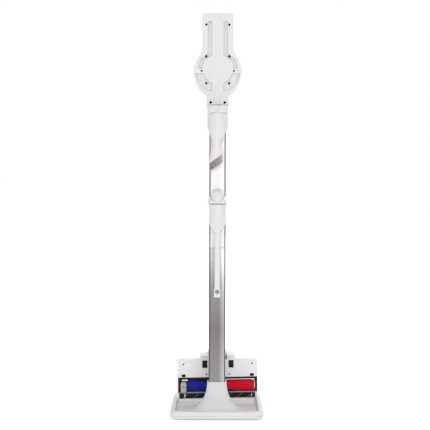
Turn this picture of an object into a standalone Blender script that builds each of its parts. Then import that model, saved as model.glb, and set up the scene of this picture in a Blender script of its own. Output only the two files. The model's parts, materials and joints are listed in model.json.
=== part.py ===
"""Cordless stick vacuum hung on a free-standing charging stand, with two tools stored behind its column.

Metres, +Z up, floor at z = 0. The stand's column rises near y = 0. The vacuum hangs on the +Y side of
the dock and the tools hang on the -Y side. X runs across, and the origin is the middle of the base's
underside.
"""

import math

import bmesh
import bpy
from mathutils import Vector

MM = 0.001
GAP = 0.3 * MM  # between pieces that touch
SLIP = 0.4 * MM  # between pieces that slide or turn in each other
OVERSHOOT = 5 * MM  # how far a cutter passes the wall that it cuts
CORNER_STEPS = 4
SIDES = 24

# ---- base: a tray with a rim, and a flared pedestal that holds the column ----
BASE_WIDTH = 276 * MM
BASE_DEPTH = 259 * MM
BASE_CORNER = 26 * MM
RIM_HEIGHT = 25 * MM
RIM_WIDTH = 16 * MM
TRAY_FLOOR = 12 * MM
BASE_WALL = 3 * MM
BASE_SKIRT = 2.6 * MM  # the tray's lower edge above the floor
BALLAST_THICKNESS = 4 * MM
RUBBER_THICKNESS = 2.2 * MM
FOOT_RING_INSET = 16 * MM
FOOT_RING_WIDTH = 9 * MM
FOOT_PAD_RADIUS = 20 * MM
PEDESTAL_TOP = 94 * MM
PEDESTAL_WALL = 4.4 * MM

# ---- column: two lengths of aluminium tube over an inner sleeve ----
COLUMN_WIDTH = 49.6 * MM
COLUMN_DEPTH = 30 * MM
COLUMN_CORNER = 6.5 * MM
COLUMN_WALL = 2 * MM
COLUMN_Y = -25 * MM
COLUMN_SEAM = 497.5 * MM
COLUMN_IN_DOCK = 74 * MM
JOINER_LENGTH = 120 * MM
JOINER_WALL = 2 * MM

# ---- dock: a disc with a panel above it and a neck below it, in two covers ----
DOCK_Z = 928 * MM  # the neck's lower end
DISC_RISE = 99.6 * MM
DISC_RADIUS = 72 * MM
PANEL_HALF = 46.2 * MM
PANEL_FOOT_RISE = 164 * MM
DOCK_LENGTH = 276.5 * MM
NECK_HALF = 33 * MM
DOCK_BACK = -48 * MM
DOCK_SPLIT = -20 * MM
DOCK_FRONT = 6 * MM
DOCK_WALL = 3 * MM
DOCK_BACK_WALL = 6.4 * MM
DOCK_EDGE = 2 * MM
RECESS_DEPTH = 3.2 * MM
SCREW_HOLE_RADIUS = 3.2 * MM
SLEEVE_LENGTH = 75 * MM
SLEEVE_WALL = 6.2 * MM
RAIL_HALF = 11 * MM
RAIL_STEM_HALF = 6 * MM
RAIL_LIP_HALF = 12 * MM
RAIL_BASE_RISE = 182 * MM
RAIL_LENGTH = 60 * MM
RAIL_PLATE = 3 * MM
RAIL_STEM = 8 * MM
RAIL_LIP = 5 * MM
PIN_RADIUS = 2.5 * MM
PIN_X = 15 * MM

# ---- stored tools, hung from pegs behind the column ----
TOOL_TUBE_RADIUS = 24.2 * MM
PEG_RADIUS = 16.6 * MM
PEG_LENGTH = 36 * MM
SOCKET_HALF = 30.3 * MM
SOCKET_HEIGHT = 21.7 * MM
SOCKET_DROP = 7.5 * MM  # its top below the dock's lower edge
BUTTON_WIDTH = 10.5 * MM
BUTTON_HEIGHT = 15.5 * MM
HOLDER_DROP = 297.2 * MM  # the holder band's lower edge below the dock's
CREVICE_LENGTH = 274.5 * MM
BRISTLE_LENGTH = 23 * MM

# ---- vacuum: hand unit, wand and floor head on one vertical line ----
WAND_Y = 60 * MM
WAND_RADIUS = 19 * MM
WAND_WALL = 1.4 * MM
DUCT_RADIUS = 20.5 * MM
DUCT_WALL = 3 * MM
INLET_RADIUS = 25 * MM
INLET_DROP = 31 * MM  # the inlet socket's mouth below the dock's neck
INLET_DEPTH = 50 * MM
BIN_Y = 98 * MM
BIN_RADIUS = 48 * MM
BIN_WALL = 2.6 * MM
BIN_HEIGHT = 80 * MM
BIN_RISE = 72 * MM  # the bin's lower edge above the dock's neck
BIN_NOTCH_CLEARANCE = 2.5 * MM
DOOR_THICKNESS = 5.6 * MM
DOOR_SWING_ROOM = 2.2 * MM
HOUSING_HEIGHT = 125.5 * MM
HOUSING_WALL = 4 * MM
HOUSING_NOSE_RADIUS = 27 * MM
HOUSING_NOSE_Y = 62 * MM
CAP_RADIUS = 40 * MM
CAP_HEIGHT = 12 * MM
CAP_SLOTS = 12
HANDLE_HALF = 15 * MM
HANDLE_REACH = 60 * MM  # from the housing's side to the grip's far side
GRIP_DEPTH = 32 * MM
BRIDGE_LOW = 17 * MM
BRIDGE_HIGH = 25 * MM
BATTERY_WIDTH = 54 * MM
BATTERY_DEPTH = 46 * MM
BATTERY_HEIGHT = 79 * MM

# ---- floor head: built about its tilt axis, then turned a little about the wand ----
HEAD_TURN = 6  # degrees
HEAD_WIDTH = 250 * MM
HEAD_GAP = 15 * MM  # head's front edge above the tray floor
HEAD_LENGTH = 131 * MM  # front edge to tilt axis
SOLE = -31 * MM  # running surface, measured from the tilt axis
SOLE_THICKNESS = 2.7 * MM
SOLE_LENGTH = 54 * MM
SOLE_REAR = -10 * MM
EAR_REAR = 3 * MM
EAR_INNER = 29 * MM
EAR_OUTER = 53 * MM
BARREL_RADIUS = 17 * MM
STUB_RADIUS = 5 * MM
BRUSH_RADIUS = 20 * MM
BRUSH_Z = -91.5 * MM
BRUSH_AXLE_RADIUS = 3 * MM
FRONT_ROLLER_RADIUS = 8 * MM
FRONT_ROLLER_Z = -121.5 * MM
WHEEL_RADIUS = 11 * MM
WHEEL_WIDTH = 14 * MM
WHEEL_X = 41 * MM
WHEEL_Z = -23.8 * MM
AXLE_RADIUS = 2 * MM
PULLEY_X = -108 * MM
BELT_WIDTH = 6 * MM

# ---- places that follow from the sizes above ----
COLUMN_BACK = COLUMN_Y - COLUMN_DEPTH / 2
COLUMN_FRONT = COLUMN_Y + COLUMN_DEPTH / 2
TOOL_Y = COLUMN_BACK - SLEEVE_WALL - TOOL_TUBE_RADIUS - 1.6 * MM
DISC_Z = DOCK_Z + DISC_RISE
DOCK_TOP = DOCK_Z + DOCK_LENGTH
INLET_Z = DOCK_Z - INLET_DROP
BIN_Z = DOCK_Z + BIN_RISE
HOUSING_RADIUS = BIN_RADIUS - 1 * MM
HOUSING_Z = BIN_Z + BIN_HEIGHT + GAP
HOUSING_TOP = HOUSING_Z + HOUSING_HEIGHT
HANDLE_NEAR = BIN_Y + BIN_RADIUS
HANDLE_FAR = HANDLE_NEAR + HANDLE_REACH
GRIP_NEAR = HANDLE_FAR - GRIP_DEPTH
RAIL_Z = DOCK_Z + RAIL_BASE_RISE
RAIL_TOP = RAIL_Z + RAIL_LENGTH
TILT_Z = TRAY_FLOOR + HEAD_GAP + HEAD_LENGTH
BRUSH_Y = SOLE - 1 * MM + BRUSH_RADIUS
FRONT_ROLLER_Y = SOLE + FRONT_ROLLER_RADIUS
WHEEL_Y = SOLE - 2.5 * MM + WHEEL_RADIUS
NECK_TOP = TILT_Z + 68 * MM
SOCKET_Z = DOCK_Z - SOCKET_DROP - SOCKET_HEIGHT
HOLDER_Z = DOCK_Z - HOLDER_DROP
WAND_TOP = INLET_Z + INLET_DEPTH - 9 * MM
MOTOR_Y = -12 * MM  # brush motor, from the tilt axis
MOTOR_Z = -36 * MM

MATERIALS = {}


# ------------------------------------------------------------------ modelling tools


def clear_scene():
    for obj in list(bpy.data.objects):
        bpy.data.objects.remove(obj)


def add_material(name, colour, roughness, metallic=0.0, alpha=1.0):
    made = bpy.data.materials.new(name)
    made.use_nodes = True
    shader = made.node_tree.nodes["Principled BSDF"]
    shader.inputs["Base Color"].default_value = (*colour, 1.0)
    shader.inputs["Roughness"].default_value = roughness
    shader.inputs["Metallic"].default_value = metallic
    shader.inputs["Alpha"].default_value = alpha
    MATERIALS[name] = made


def add_frame(name, place, turn=0.0):
    """An empty that other pieces are placed from."""
    frame = bpy.data.objects.new(name, None)
    frame.location = place
    frame.rotation_euler = (0, 0, math.radians(turn))
    bpy.context.scene.collection.objects.link(frame)
    return frame


def arc(across, up, radius, start, end, steps=CORNER_STEPS):
    """Points on an arc between two angles in degrees, both ends included."""
    angles = [math.radians(start + (end - start) * i / steps) for i in range(steps + 1)]
    return [(across + radius * math.cos(a), up + radius * math.sin(a)) for a in angles]


def circle(radius, across=0.0, up=0.0, sides=SIDES):
    return arc(across, up, radius, 0, 360 - 360 / sides, sides - 1)


def rounded_rect(left, right, low, high, radius, steps=CORNER_STEPS):
    radius = min(radius, 0.499 * (right - left), 0.499 * (high - low))
    return (
        arc(right - radius, high - radius, radius, 0, 90, steps)
        + arc(left + radius, high - radius, radius, 90, 180, steps)
        + arc(left + radius, low + radius, radius, 180, 270, steps)
        + arc(right - radius, low + radius, radius, 270, 360, steps)
    )


def box_outline(left, right, low, high):
    return [(right, high), (left, high), (left, low), (right, low)]


def mirrored(outline):
    return [(-across, up) for across, up in reversed(outline)]


def place_outline(outline, axis, level):
    """An outline as points in space, at one level along an axis."""
    if axis == "X":
        return [(level, a, b) for a, b in outline]
    if axis == "Y":
        return [(a, level, b) for a, b in outline]
    return [(a, b, level) for a, b in outline]


def skin(name, loops, material=None, ring=False, frame=None, origin=(0, 0, 0)):
    """A solid skinned through loops of equally many points: capped at both ends, or closed on itself."""
    mesh = bpy.data.meshes.new(name)
    form = bmesh.new()
    base = Vector(origin)
    rows = [[form.verts.new(Vector(point) - base) for point in loop] for loop in loops]
    count = len(rows[0])
    pairs = list(zip(rows, rows[1:] + rows[:1]))
    for lower, upper in pairs if ring else pairs[:-1]:
        for i in range(count):
            j = (i + 1) % count
            form.faces.new((lower[i], lower[j], upper[j], upper[i]))
    if not ring:
        form.faces.new(rows[0])
        form.faces.new(rows[-1])
    bmesh.ops.recalc_face_normals(form, faces=form.faces)
    form.to_mesh(mesh)
    form.free()
    mesh.shade_smooth()
    mesh.set_sharp_from_angle(angle=math.radians(35))
    obj = bpy.data.objects.new(name, mesh)
    obj.parent = frame
    obj.location = origin
    if material:
        mesh.materials.append(MATERIALS[material])
    bpy.context.scene.collection.objects.link(obj)
    return obj


def prism(name, outline, axis, low, high, material=None, **placing):
    loops = [place_outline(outline, axis, level) for level in (low, high)]
    return skin(name, loops, material, **placing)


def box(name, low, high, material=None, **placing):
    outline = box_outline(low[0], high[0], low[1], high[1])
    return prism(name, outline, "Z", low[2], high[2], material, **placing)


def turned(name, profile, axis, across, up, material=None, sides=SIDES, **placing):
    """A solid turned about an axis: the profile lists (radius, level along the axis)."""
    loops = [place_outline(circle(r, across, up, sides), axis, level) for r, level in profile]
    return skin(name, loops, material, **placing)


def operand(target, tool, operation):
    tool.hide_render = True
    tool.display_type = "WIRE"
    step = target.modifiers.new(tool.name, "BOOLEAN")
    step.operation = operation
    step.object = tool
    step.solver = "EXACT"


def smoothing_group():
    """Geometry nodes that shade every face smooth and every edge over 35 degrees sharp."""
    group = bpy.data.node_groups.new("smooth_by_angle", "GeometryNodeTree")
    group.interface.new_socket("Geometry", in_out="INPUT", socket_type="NodeSocketGeometry")
    group.interface.new_socket("Geometry", in_out="OUTPUT", socket_type="NodeSocketGeometry")
    made = {}
    for name, kind in (
        ("in", "NodeGroupInput"),
        ("out", "NodeGroupOutput"),
        ("faces", "GeometryNodeSetShadeSmooth"),
        ("edges", "GeometryNodeSetShadeSmooth"),
        ("angle", "GeometryNodeInputMeshEdgeAngle"),
        ("sharp", "FunctionNodeCompare"),
    ):
        made[name] = group.nodes.new(kind)
    made["edges"].domain = "EDGE"
    made["sharp"].operation = "GREATER_THAN"
    made["sharp"].inputs["B"].default_value = math.radians(35)
    made["faces"].inputs["Shade Smooth"].default_value = True
    made["edges"].inputs["Shade Smooth"].default_value = False
    group.links.new(made["in"].outputs[0], made["faces"].inputs["Geometry"])
    group.links.new(made["faces"].outputs[0], made["edges"].inputs["Geometry"])
    group.links.new(made["angle"].outputs["Unsigned Angle"], made["sharp"].inputs["A"])
    group.links.new(made["sharp"].outputs[0], made["edges"].inputs["Selection"])
    group.links.new(made["edges"].outputs[0], made["out"].inputs[0])
    return group


def smooth_cut_pieces():
    """Shade again what the cuts changed."""
    group = smoothing_group()
    for obj in bpy.data.objects:
        if obj.modifiers and not obj.hide_render:
            obj.modifiers.new("smooth_by_angle", "NODES").node_group = group


def cut(target, *tools):
    for tool in tools:
        operand(target, tool, "DIFFERENCE")


def fuse(target, *tools):
    for tool in tools:
        operand(target, tool, "UNION")


# ------------------------------------------------------------------ base and column


def base_outline(inset):
    half_width, half_depth = BASE_WIDTH / 2 - inset, BASE_DEPTH / 2 - inset
    corner = max(BASE_CORNER - inset, 4 * MM)
    return rounded_rect(-half_width, half_width, -half_depth, half_depth, corner)


def column_outline(grow=0.0):
    half_width, half_depth = COLUMN_WIDTH / 2 + grow, COLUMN_DEPTH / 2 + grow
    corner = max(COLUMN_CORNER + grow, 1 * MM)
    return rounded_rect(-half_width, half_width, COLUMN_Y - half_depth, COLUMN_Y + half_depth, corner)


def pedestal_sections():
    """(height, spread to each side, spread back, spread front) beyond the column, from the top down."""
    top = PEDESTAL_WALL
    return [
        (PEDESTAL_TOP, top, top, top),
        (75 * MM, top + 1.3 * MM, top + 1 * MM, top + 0.5 * MM),
        (55 * MM, top + 6 * MM, top + 4 * MM, top + 1.5 * MM),
        (41 * MM, top + 13 * MM, top + 9 * MM, top + 4 * MM),
        (31 * MM, top + 21.5 * MM, top + 15 * MM, top + 7 * MM),
        (21 * MM, top + 34 * MM, top + 27 * MM, top + 12 * MM),
        (15 * MM, top + 49 * MM, top + 39 * MM, top + 18 * MM),
        (TRAY_FLOOR, top + 68 * MM, top + 50 * MM, top + 25 * MM),
    ]


def pedestal_outline(side, back, front, grow=0.0):
    half = COLUMN_WIDTH / 2 + side + grow
    low, high = COLUMN_BACK - back - grow, COLUMN_FRONT + front + grow
    return rounded_rect(-half, half, low, high, COLUMN_CORNER + side + grow)


def make_base():
    outer = [
        (6 * MM, BASE_SKIRT),
        (2 * MM, BASE_SKIRT + 3.5 * MM),
        (0, BASE_SKIRT + 8 * MM),
        (0, RIM_HEIGHT - 6 * MM),
        (1.6 * MM, RIM_HEIGHT - 2 * MM),
        (5 * MM, RIM_HEIGHT),
        (RIM_WIDTH - 3 * MM, RIM_HEIGHT),
        (RIM_WIDTH, RIM_HEIGHT - 2.5 * MM),
        (RIM_WIDTH + 2 * MM, TRAY_FLOOR),
    ]
    loops = [place_outline(base_outline(inset), "Z", z) for inset, z in outer]
    sections = pedestal_sections()
    for z, side, back, front in reversed(sections):
        loops.append(place_outline(pedestal_outline(side, back, front), "Z", z))
    loops.append(place_outline(column_outline(SLIP), "Z", PEDESTAL_TOP))
    for z, side, back, front in sections[1:-1]:
        under = pedestal_outline(side, back, front, -BASE_WALL)
        loops.append(place_outline(under, "Z", z - BASE_WALL / 2))
    floor_under = TRAY_FLOOR - BASE_WALL
    loops.append(place_outline(pedestal_outline(*sections[-1][1:], -BASE_WALL), "Z", floor_under))
    inner = [
        (RIM_WIDTH + 2 * MM, floor_under),
        (RIM_WIDTH - 1 * MM, RIM_HEIGHT - BASE_WALL),
        (5.5 * MM, RIM_HEIGHT - BASE_WALL),
        (BASE_WALL, RIM_HEIGHT - 8 * MM),
        (BASE_WALL, BASE_SKIRT + 8 * MM),
        (6 * MM + BASE_WALL, BASE_SKIRT),
    ]
    loops += [place_outline(base_outline(inset), "Z", z) for inset, z in inner]
    skin("base_tray", loops, "white_plastic", ring=True)

    ballast_inset = 6 * MM + BASE_WALL + SLIP
    ballast_low = RUBBER_THICKNESS + GAP
    ballast_high = ballast_low + BALLAST_THICKNESS
    prism("ballast_plate", base_outline(ballast_inset), "Z", ballast_low, ballast_high, "zinc_steel")

    ring_inset = FOOT_RING_INSET
    ring = [
        place_outline(base_outline(inset), "Z", z)
        for inset, z in (
            (ring_inset, 0),
            (ring_inset, RUBBER_THICKNESS),
            (ring_inset + FOOT_RING_WIDTH, RUBBER_THICKNESS),
            (ring_inset + FOOT_RING_WIDTH, 0),
        )
    ]
    skin("rubber_foot_ring", ring, "black_rubber", ring=True)
    pad = [(FOOT_PAD_RADIUS, 0), (FOOT_PAD_RADIUS, RUBBER_THICKNESS)]
    turned("rubber_foot_pad", pad, "Z", 0, 0, "black_rubber")

    plate_low, plate_high = ballast_high + GAP, ballast_high + GAP + 2 * MM
    post = column_outline(-COLUMN_WALL - SLIP)
    plate = column_outline(14 * MM)
    loops = [
        place_outline(plate, "Z", plate_low),
        place_outline(plate, "Z", plate_high),
        place_outline(post, "Z", plate_high),
        place_outline(post, "Z", PEDESTAL_TOP + 25 * MM),
    ]
    skin("column_foot_bracket", loops, "zinc_steel")
    return plate_high


def make_column(foot):
    def tube(name, low, high, outer, inner, material):
        loops = [
            place_outline(outline, "Z", z)
            for outline, z in ((outer, low), (outer, high), (inner, high), (inner, low))
        ]
        skin(name, loops, material, ring=True)

    outer, inner = column_outline(), column_outline(-COLUMN_WALL)
    low, seam, high = foot + GAP, COLUMN_SEAM, DOCK_Z + COLUMN_IN_DOCK
    tube("column_lower", low, seam - GAP / 2, outer, inner, "brushed_aluminium")
    tube("column_upper", seam + GAP / 2, high, outer, inner, "brushed_aluminium")
    sleeve = column_outline(-COLUMN_WALL - SLIP)
    sleeve_inner = column_outline(-COLUMN_WALL - SLIP - JOINER_WALL)
    low, high = COLUMN_SEAM - JOINER_LENGTH / 2, COLUMN_SEAM + JOINER_LENGTH / 2
    tube("column_joiner", low, high, sleeve, sleeve_inner, "zinc_steel")


# ------------------------------------------------------------------ dock


def dock_outline(inset):
    """The dock seen from behind: panel, sloping shoulders tangent to the disc, disc and neck."""
    radius, panel, neck = DISC_RADIUS - inset, PANEL_HALF - inset, NECK_HALF - inset
    shoulder = Vector((PANEL_HALF, DOCK_Z + PANEL_FOOT_RISE - DISC_Z))
    touch = math.atan2(shoulder.y, shoulder.x) - math.acos(DISC_RADIUS / shoulder.length)
    slope = Vector((math.cos(touch), math.sin(touch)))
    # the shoulder's corner moves in along both of its edges
    corner_up = (radius - panel * slope.x) / slope.y
    neck_angle = -math.acos(neck / radius)
    corner = max(4 * MM - inset, 1 * MM)
    right = [(neck, DOCK_Z + inset)]
    right += arc(0, DISC_Z, radius, math.degrees(neck_angle), math.degrees(touch), 15)
    right.append((panel, DISC_Z + corner_up))
    right += arc(panel - corner, DOCK_TOP - inset - corner, corner, 0, 90, 3)
    return right + mirrored(right)


def dock_shell(name, face, lip, wall, edge_towards):
    """A cover open at its lip: the outline with a rounded outer edge, hollowed from the lip."""
    loops = [
        (DOCK_EDGE, face),
        (0.55 * DOCK_EDGE, face + 0.25 * edge_towards * DOCK_EDGE),
        (0, face + edge_towards * DOCK_EDGE),
        (0, lip),
        (DOCK_WALL, lip),
        (DOCK_WALL, face + edge_towards * wall),
    ]
    placed = [place_outline(dock_outline(inset), "Y", y) for inset, y in loops]
    return skin(name, placed, "white_plastic")


def plateau_side():
    """The left edge of the raised field on the dock's back, from its upper bar to its lower bar."""
    return [
        (-17.5 * MM, DISC_Z + 49 * MM),
        (-40.5 * MM, DISC_Z + 35 * MM),
        (-46.5 * MM, DISC_Z + 15 * MM),
        (-43.5 * MM, DISC_Z - 4 * MM),
        (-31 * MM, DISC_Z - 25 * MM),
        (-17 * MM, DISC_Z - 34 * MM),
    ]


def back_recesses():
    """Outlines of the left-hand recesses: the long upper channel, then the lower one."""
    edge = plateau_side()
    channel = [
        (-17.5 * MM, DOCK_Z + 252 * MM),
        (-30 * MM, DOCK_Z + 252 * MM),
        (-30 * MM, DISC_Z + 55 * MM),
        (-52 * MM, DISC_Z + 38 * MM),
        (-59 * MM, DISC_Z + 16 * MM),
        (-57 * MM, DISC_Z + 9 * MM),
    ]
    upper = channel + [(-45.6 * MM, DISC_Z + 9 * MM), edge[2], edge[1], edge[0]]
    rim = arc(0, DISC_Z, DISC_RADIUS - 5 * MM, 184, 222, 6)
    lower = rim + [(-29 * MM, DISC_Z - 58 * MM), (-17 * MM, DISC_Z - 58 * MM), edge[5], edge[4], edge[3]]
    return [upper, lower]


def dock_screw_places():
    sides = [(34.5 * MM, DOCK_Z + 241.5 * MM), (34.5 * MM, DISC_Z + 46.7 * MM)]
    sides += [(48.5 * MM, DISC_Z + 2.7 * MM), (34.5 * MM, DISC_Z - 34 * MM), (21.2 * MM, DOCK_Z + 7.3 * MM)]
    return [(side * x, z) for x, z in sides for side in (-1, 1)]


def make_dock():
    rear = dock_shell("dock_rear_cover", DOCK_BACK, DOCK_SPLIT - GAP, DOCK_BACK_WALL, 1)
    column_hole = (column_outline(SLIP), DOCK_Z - OVERSHOOT, DOCK_Z + COLUMN_IN_DOCK + SLIP)
    cut(rear, prism("cut_rear_column", column_hole[0], "Z", *column_hole[1:]))
    for number, outline in enumerate(back_recesses()):
        for side, shape in (("left", outline), ("right", mirrored(outline))):
            name = f"cut_recess_{number}_{side}"
            cut(rear, prism(name, shape, "Y", DOCK_BACK - OVERSHOOT, DOCK_BACK + RECESS_DEPTH))
    for number, (x, z) in enumerate(dock_screw_places()):
        profile = [(SCREW_HOLE_RADIUS, DOCK_BACK - OVERSHOOT), (SCREW_HOLE_RADIUS, DOCK_BACK + 5 * MM)]
        cut(rear, turned(f"cut_screw_{number}", profile, "Y", x, z, sides=10))
    inlet_z, inlet_y, inlet_radius = DOCK_TOP - 90 * MM, -31 * MM, 5 * MM
    wall_inside = PANEL_HALF - DOCK_WALL
    clear = inlet_radius + SLIP
    hole = [(clear, wall_inside - OVERSHOOT), (clear, PANEL_HALF + OVERSHOOT)]
    cut(rear, turned("cut_inlet", hole, "X", inlet_y, inlet_z, sides=16))
    jack = [
        (inlet_radius, PANEL_HALF),
        (inlet_radius, wall_inside - GAP),
        (inlet_radius + 2 * MM, wall_inside - GAP),
        (inlet_radius + 2 * MM, PANEL_HALF - 17 * MM),
        (2.6 * MM, PANEL_HALF - 17 * MM),
        (2.6 * MM, PANEL_HALF),
    ]
    turned("dc_inlet", jack, "X", inlet_y, inlet_z, "black_plastic", sides=16, ring=True)

    front = dock_shell("dock_front_cover", DOCK_FRONT, DOCK_SPLIT, DOCK_WALL, -1)
    cut(front, prism("cut_front_column", column_hole[0], "Z", *column_hole[1:]))

    board = [
        (-14 * MM, DOCK_TOP - 105 * MM),
        (-12.4 * MM, DOCK_TOP - 105 * MM),
        (-12.4 * MM, DOCK_TOP - 80 * MM),
        (-5 * MM, DOCK_TOP - 80 * MM),
        (-5 * MM, DOCK_TOP - 55 * MM),
        (-12.4 * MM, DOCK_TOP - 55 * MM),
        (-12.4 * MM, DOCK_TOP - 20 * MM),
        (-14 * MM, DOCK_TOP - 20 * MM),
    ]
    prism("charger_board", board, "X", -34 * MM, 25 * MM, "green_board")

    foot = DOCK_FRONT + GAP
    stem, lip = foot + RAIL_PLATE, foot + RAIL_PLATE + RAIL_STEM
    half = [
        (RAIL_HALF, foot),
        (RAIL_HALF, stem),
        (RAIL_STEM_HALF, stem),
        (RAIL_STEM_HALF, lip),
        (RAIL_LIP_HALF, lip),
        (RAIL_LIP_HALF, lip + RAIL_LIP),
    ]
    prism("dock_rail", half + mirrored(half), "Z", RAIL_Z, RAIL_TOP, "grey_plastic")
    for side, name in ((-1, "contact_pin_left"), (1, "contact_pin_right")):
        pin = [(PIN_RADIUS, foot), (PIN_RADIUS, foot + 2 * MM), (0.6 * PIN_RADIUS, foot + 3 * MM)]
        turned(name, pin, "Y", side * PIN_X, RAIL_Z + 14 * MM, "brass", sides=12)

    saddle = box_outline(-15 * MM, 15 * MM, foot, WAND_Y - 0.72 * INLET_RADIUS)
    low = DOCK_Z + 7 * MM
    bumper = prism("dock_bumper", saddle, "Z", low, low + 20 * MM, "black_rubber")
    clear = INLET_RADIUS + 2 * SLIP
    profile = [(clear, low - OVERSHOOT), (clear, low + 20 * MM + OVERSHOOT)]
    cut(bumper, turned("cut_bumper", profile, "Z", 0, WAND_Y, sides=40))

    taper = [
        (SLEEVE_WALL - 4.2 * MM, DOCK_Z - SLEEVE_LENGTH),
        (SLEEVE_WALL - 1.4 * MM, DOCK_Z - SLEEVE_LENGTH + 4 * MM),
        (SLEEVE_WALL, DOCK_Z - SLEEVE_LENGTH + 9 * MM),
        (SLEEVE_WALL, DOCK_Z - GAP),
        (SLIP, DOCK_Z - GAP),
        (SLIP, DOCK_Z - SLEEVE_LENGTH),
    ]
    loops = [place_outline(column_outline(grow), "Z", z) for grow, z in taper]
    skin("dock_neck_sleeve", loops, "white_plastic", ring=True)


# ------------------------------------------------------------------ stored tools and their holders


def peg_profile(top):
    """A tapered peg that hangs down from a holder, listed from its tip up to the holder."""
    return [
        (PEG_RADIUS - 1.5 * MM, top - PEG_LENGTH),
        (PEG_RADIUS, top - PEG_LENGTH + 4 * MM),
        (PEG_RADIUS, top + OVERSHOOT),
    ]


def make_tool_socket():
    near = COLUMN_BACK - SLEEVE_WALL - GAP
    far = TOOL_Y - SOCKET_HALF + 2 * MM
    shapes = [
        (0.8 * MM, SOCKET_Z),
        (0, SOCKET_Z + 1.5 * MM),
        (0, SOCKET_Z + SOCKET_HEIGHT - 5 * MM),
        (1.2 * MM, SOCKET_Z + SOCKET_HEIGHT - 1.5 * MM),
        (3.5 * MM, SOCKET_Z + SOCKET_HEIGHT),
    ]
    loops = []
    for inset, z in shapes:
        half = SOCKET_HALF - inset
        loops.append(place_outline(rounded_rect(-half, half, far + inset, near, 25 * MM, 7), "Z", z))
    socket = skin("tool_socket", loops, "white_plastic")
    fuse(socket, turned("add_socket_peg", peg_profile(SOCKET_Z), "Z", 0, TOOL_Y))

    half, low = BUTTON_WIDTH / 2, SOCKET_Z + 3.2 * MM
    pocket = rounded_rect(-half - SLIP, half + SLIP, low - SLIP, low + 2 * BUTTON_HEIGHT, half)
    cut(socket, prism("cut_button_pocket", pocket, "Y", far - OVERSHOOT, far + 8.5 * MM))
    high = low + BUTTON_HEIGHT
    tongue = arc(0, low + half, half, 180, 360, 8) + [(half, high), (-half, high)]
    levels = [far - 0.8 * MM, far + 5.5 * MM]
    loops = [place_outline(tongue, "Y", y) for y in levels]
    skin("tool_release_button", loops, "white_plastic", origin=(0, levels[1], low + half))


def make_brush_tool():
    """Shank that fits the peg, a narrow neck, and a flat mouth cut on the slant with bristles round it."""
    slant = 0.74
    top = SOCKET_Z - GAP
    tube = TOOL_TUBE_RADIUS
    shapes = [  # height below the top, middle, half width, half depth, share of the slant
        (0, 0, tube, tube, 0),
        (52 * MM, 0, tube, tube, 0),
        (62 * MM, -0.4 * MM, tube - 2 * MM, tube - 1.5 * MM, 0),
        (73 * MM, -1.8 * MM, tube - 8.5 * MM, tube - 5.5 * MM, 0),
        (84 * MM, -2.8 * MM, tube - 11.8 * MM, tube - 9 * MM, 0),
        (97 * MM, -3.2 * MM, tube - 12 * MM, tube - 11 * MM, 0.1),
        (107 * MM, -4 * MM, tube - 8.4 * MM, tube - 12.4 * MM, 0.4),
        (118 * MM, -4.4 * MM, tube - 6 * MM, tube - 13.2 * MM, 0.8),
        (130.5 * MM, -4.4 * MM, tube - 5.1 * MM, tube - 13.7 * MM, 1),
    ]
    bore = PEG_RADIUS + SLIP
    passage = [
        (-OVERSHOOT, 0, bore, bore, 0),
        (44 * MM, 0, bore, bore, 0),
        (62 * MM, -0.4 * MM, bore - 2 * MM, bore - 1 * MM, 0),
        (73 * MM, -1.8 * MM, bore - 6 * MM, bore - 4 * MM, 0),
        (84 * MM, -2.8 * MM, bore - 8 * MM, bore - 6 * MM, 0),
        (97 * MM, -3.2 * MM, bore - 8 * MM, bore - 7.6 * MM, 0.1),
        (107 * MM, -4 * MM, bore - 5.4 * MM, bore - 9 * MM, 0.4),
        (118 * MM, -4.4 * MM, bore - 3.2 * MM, bore - 9.6 * MM, 0.8),
        (130.5 * MM + OVERSHOOT, -4.4 * MM, bore - 2.2 * MM, bore - 10 * MM, 1),
    ]

    def section(drop, middle, half_width, half_depth, share):
        outline = [(middle + half_width * x, TOOL_Y + half_depth * y) for x, y in circle(1)]
        return [(x, y, top - drop + share * slant * x) for x, y in outline]

    body = skin("brush_tool_body", [section(*s) for s in shapes], "white_plastic", origin=(0, TOOL_Y, top))
    cut(body, skin("cut_brush_passage", [section(*s) for s in passage]))

    mouth, middle = shapes[-1][0] + GAP, shapes[-1][1]
    outer, inner = (tube - 6 * MM, tube - 14.6 * MM), (tube - 9.4 * MM, tube - 18 * MM)
    tip = mouth + BRISTLE_LENGTH
    ring = [(mouth, outer), (tip, outer), (tip, inner), (mouth, inner)]
    loops = [section(drop, middle, *halves, 1) for drop, halves in ring]
    skin("brush_tool_bristles", loops, "bristle_grey", ring=True)


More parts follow.
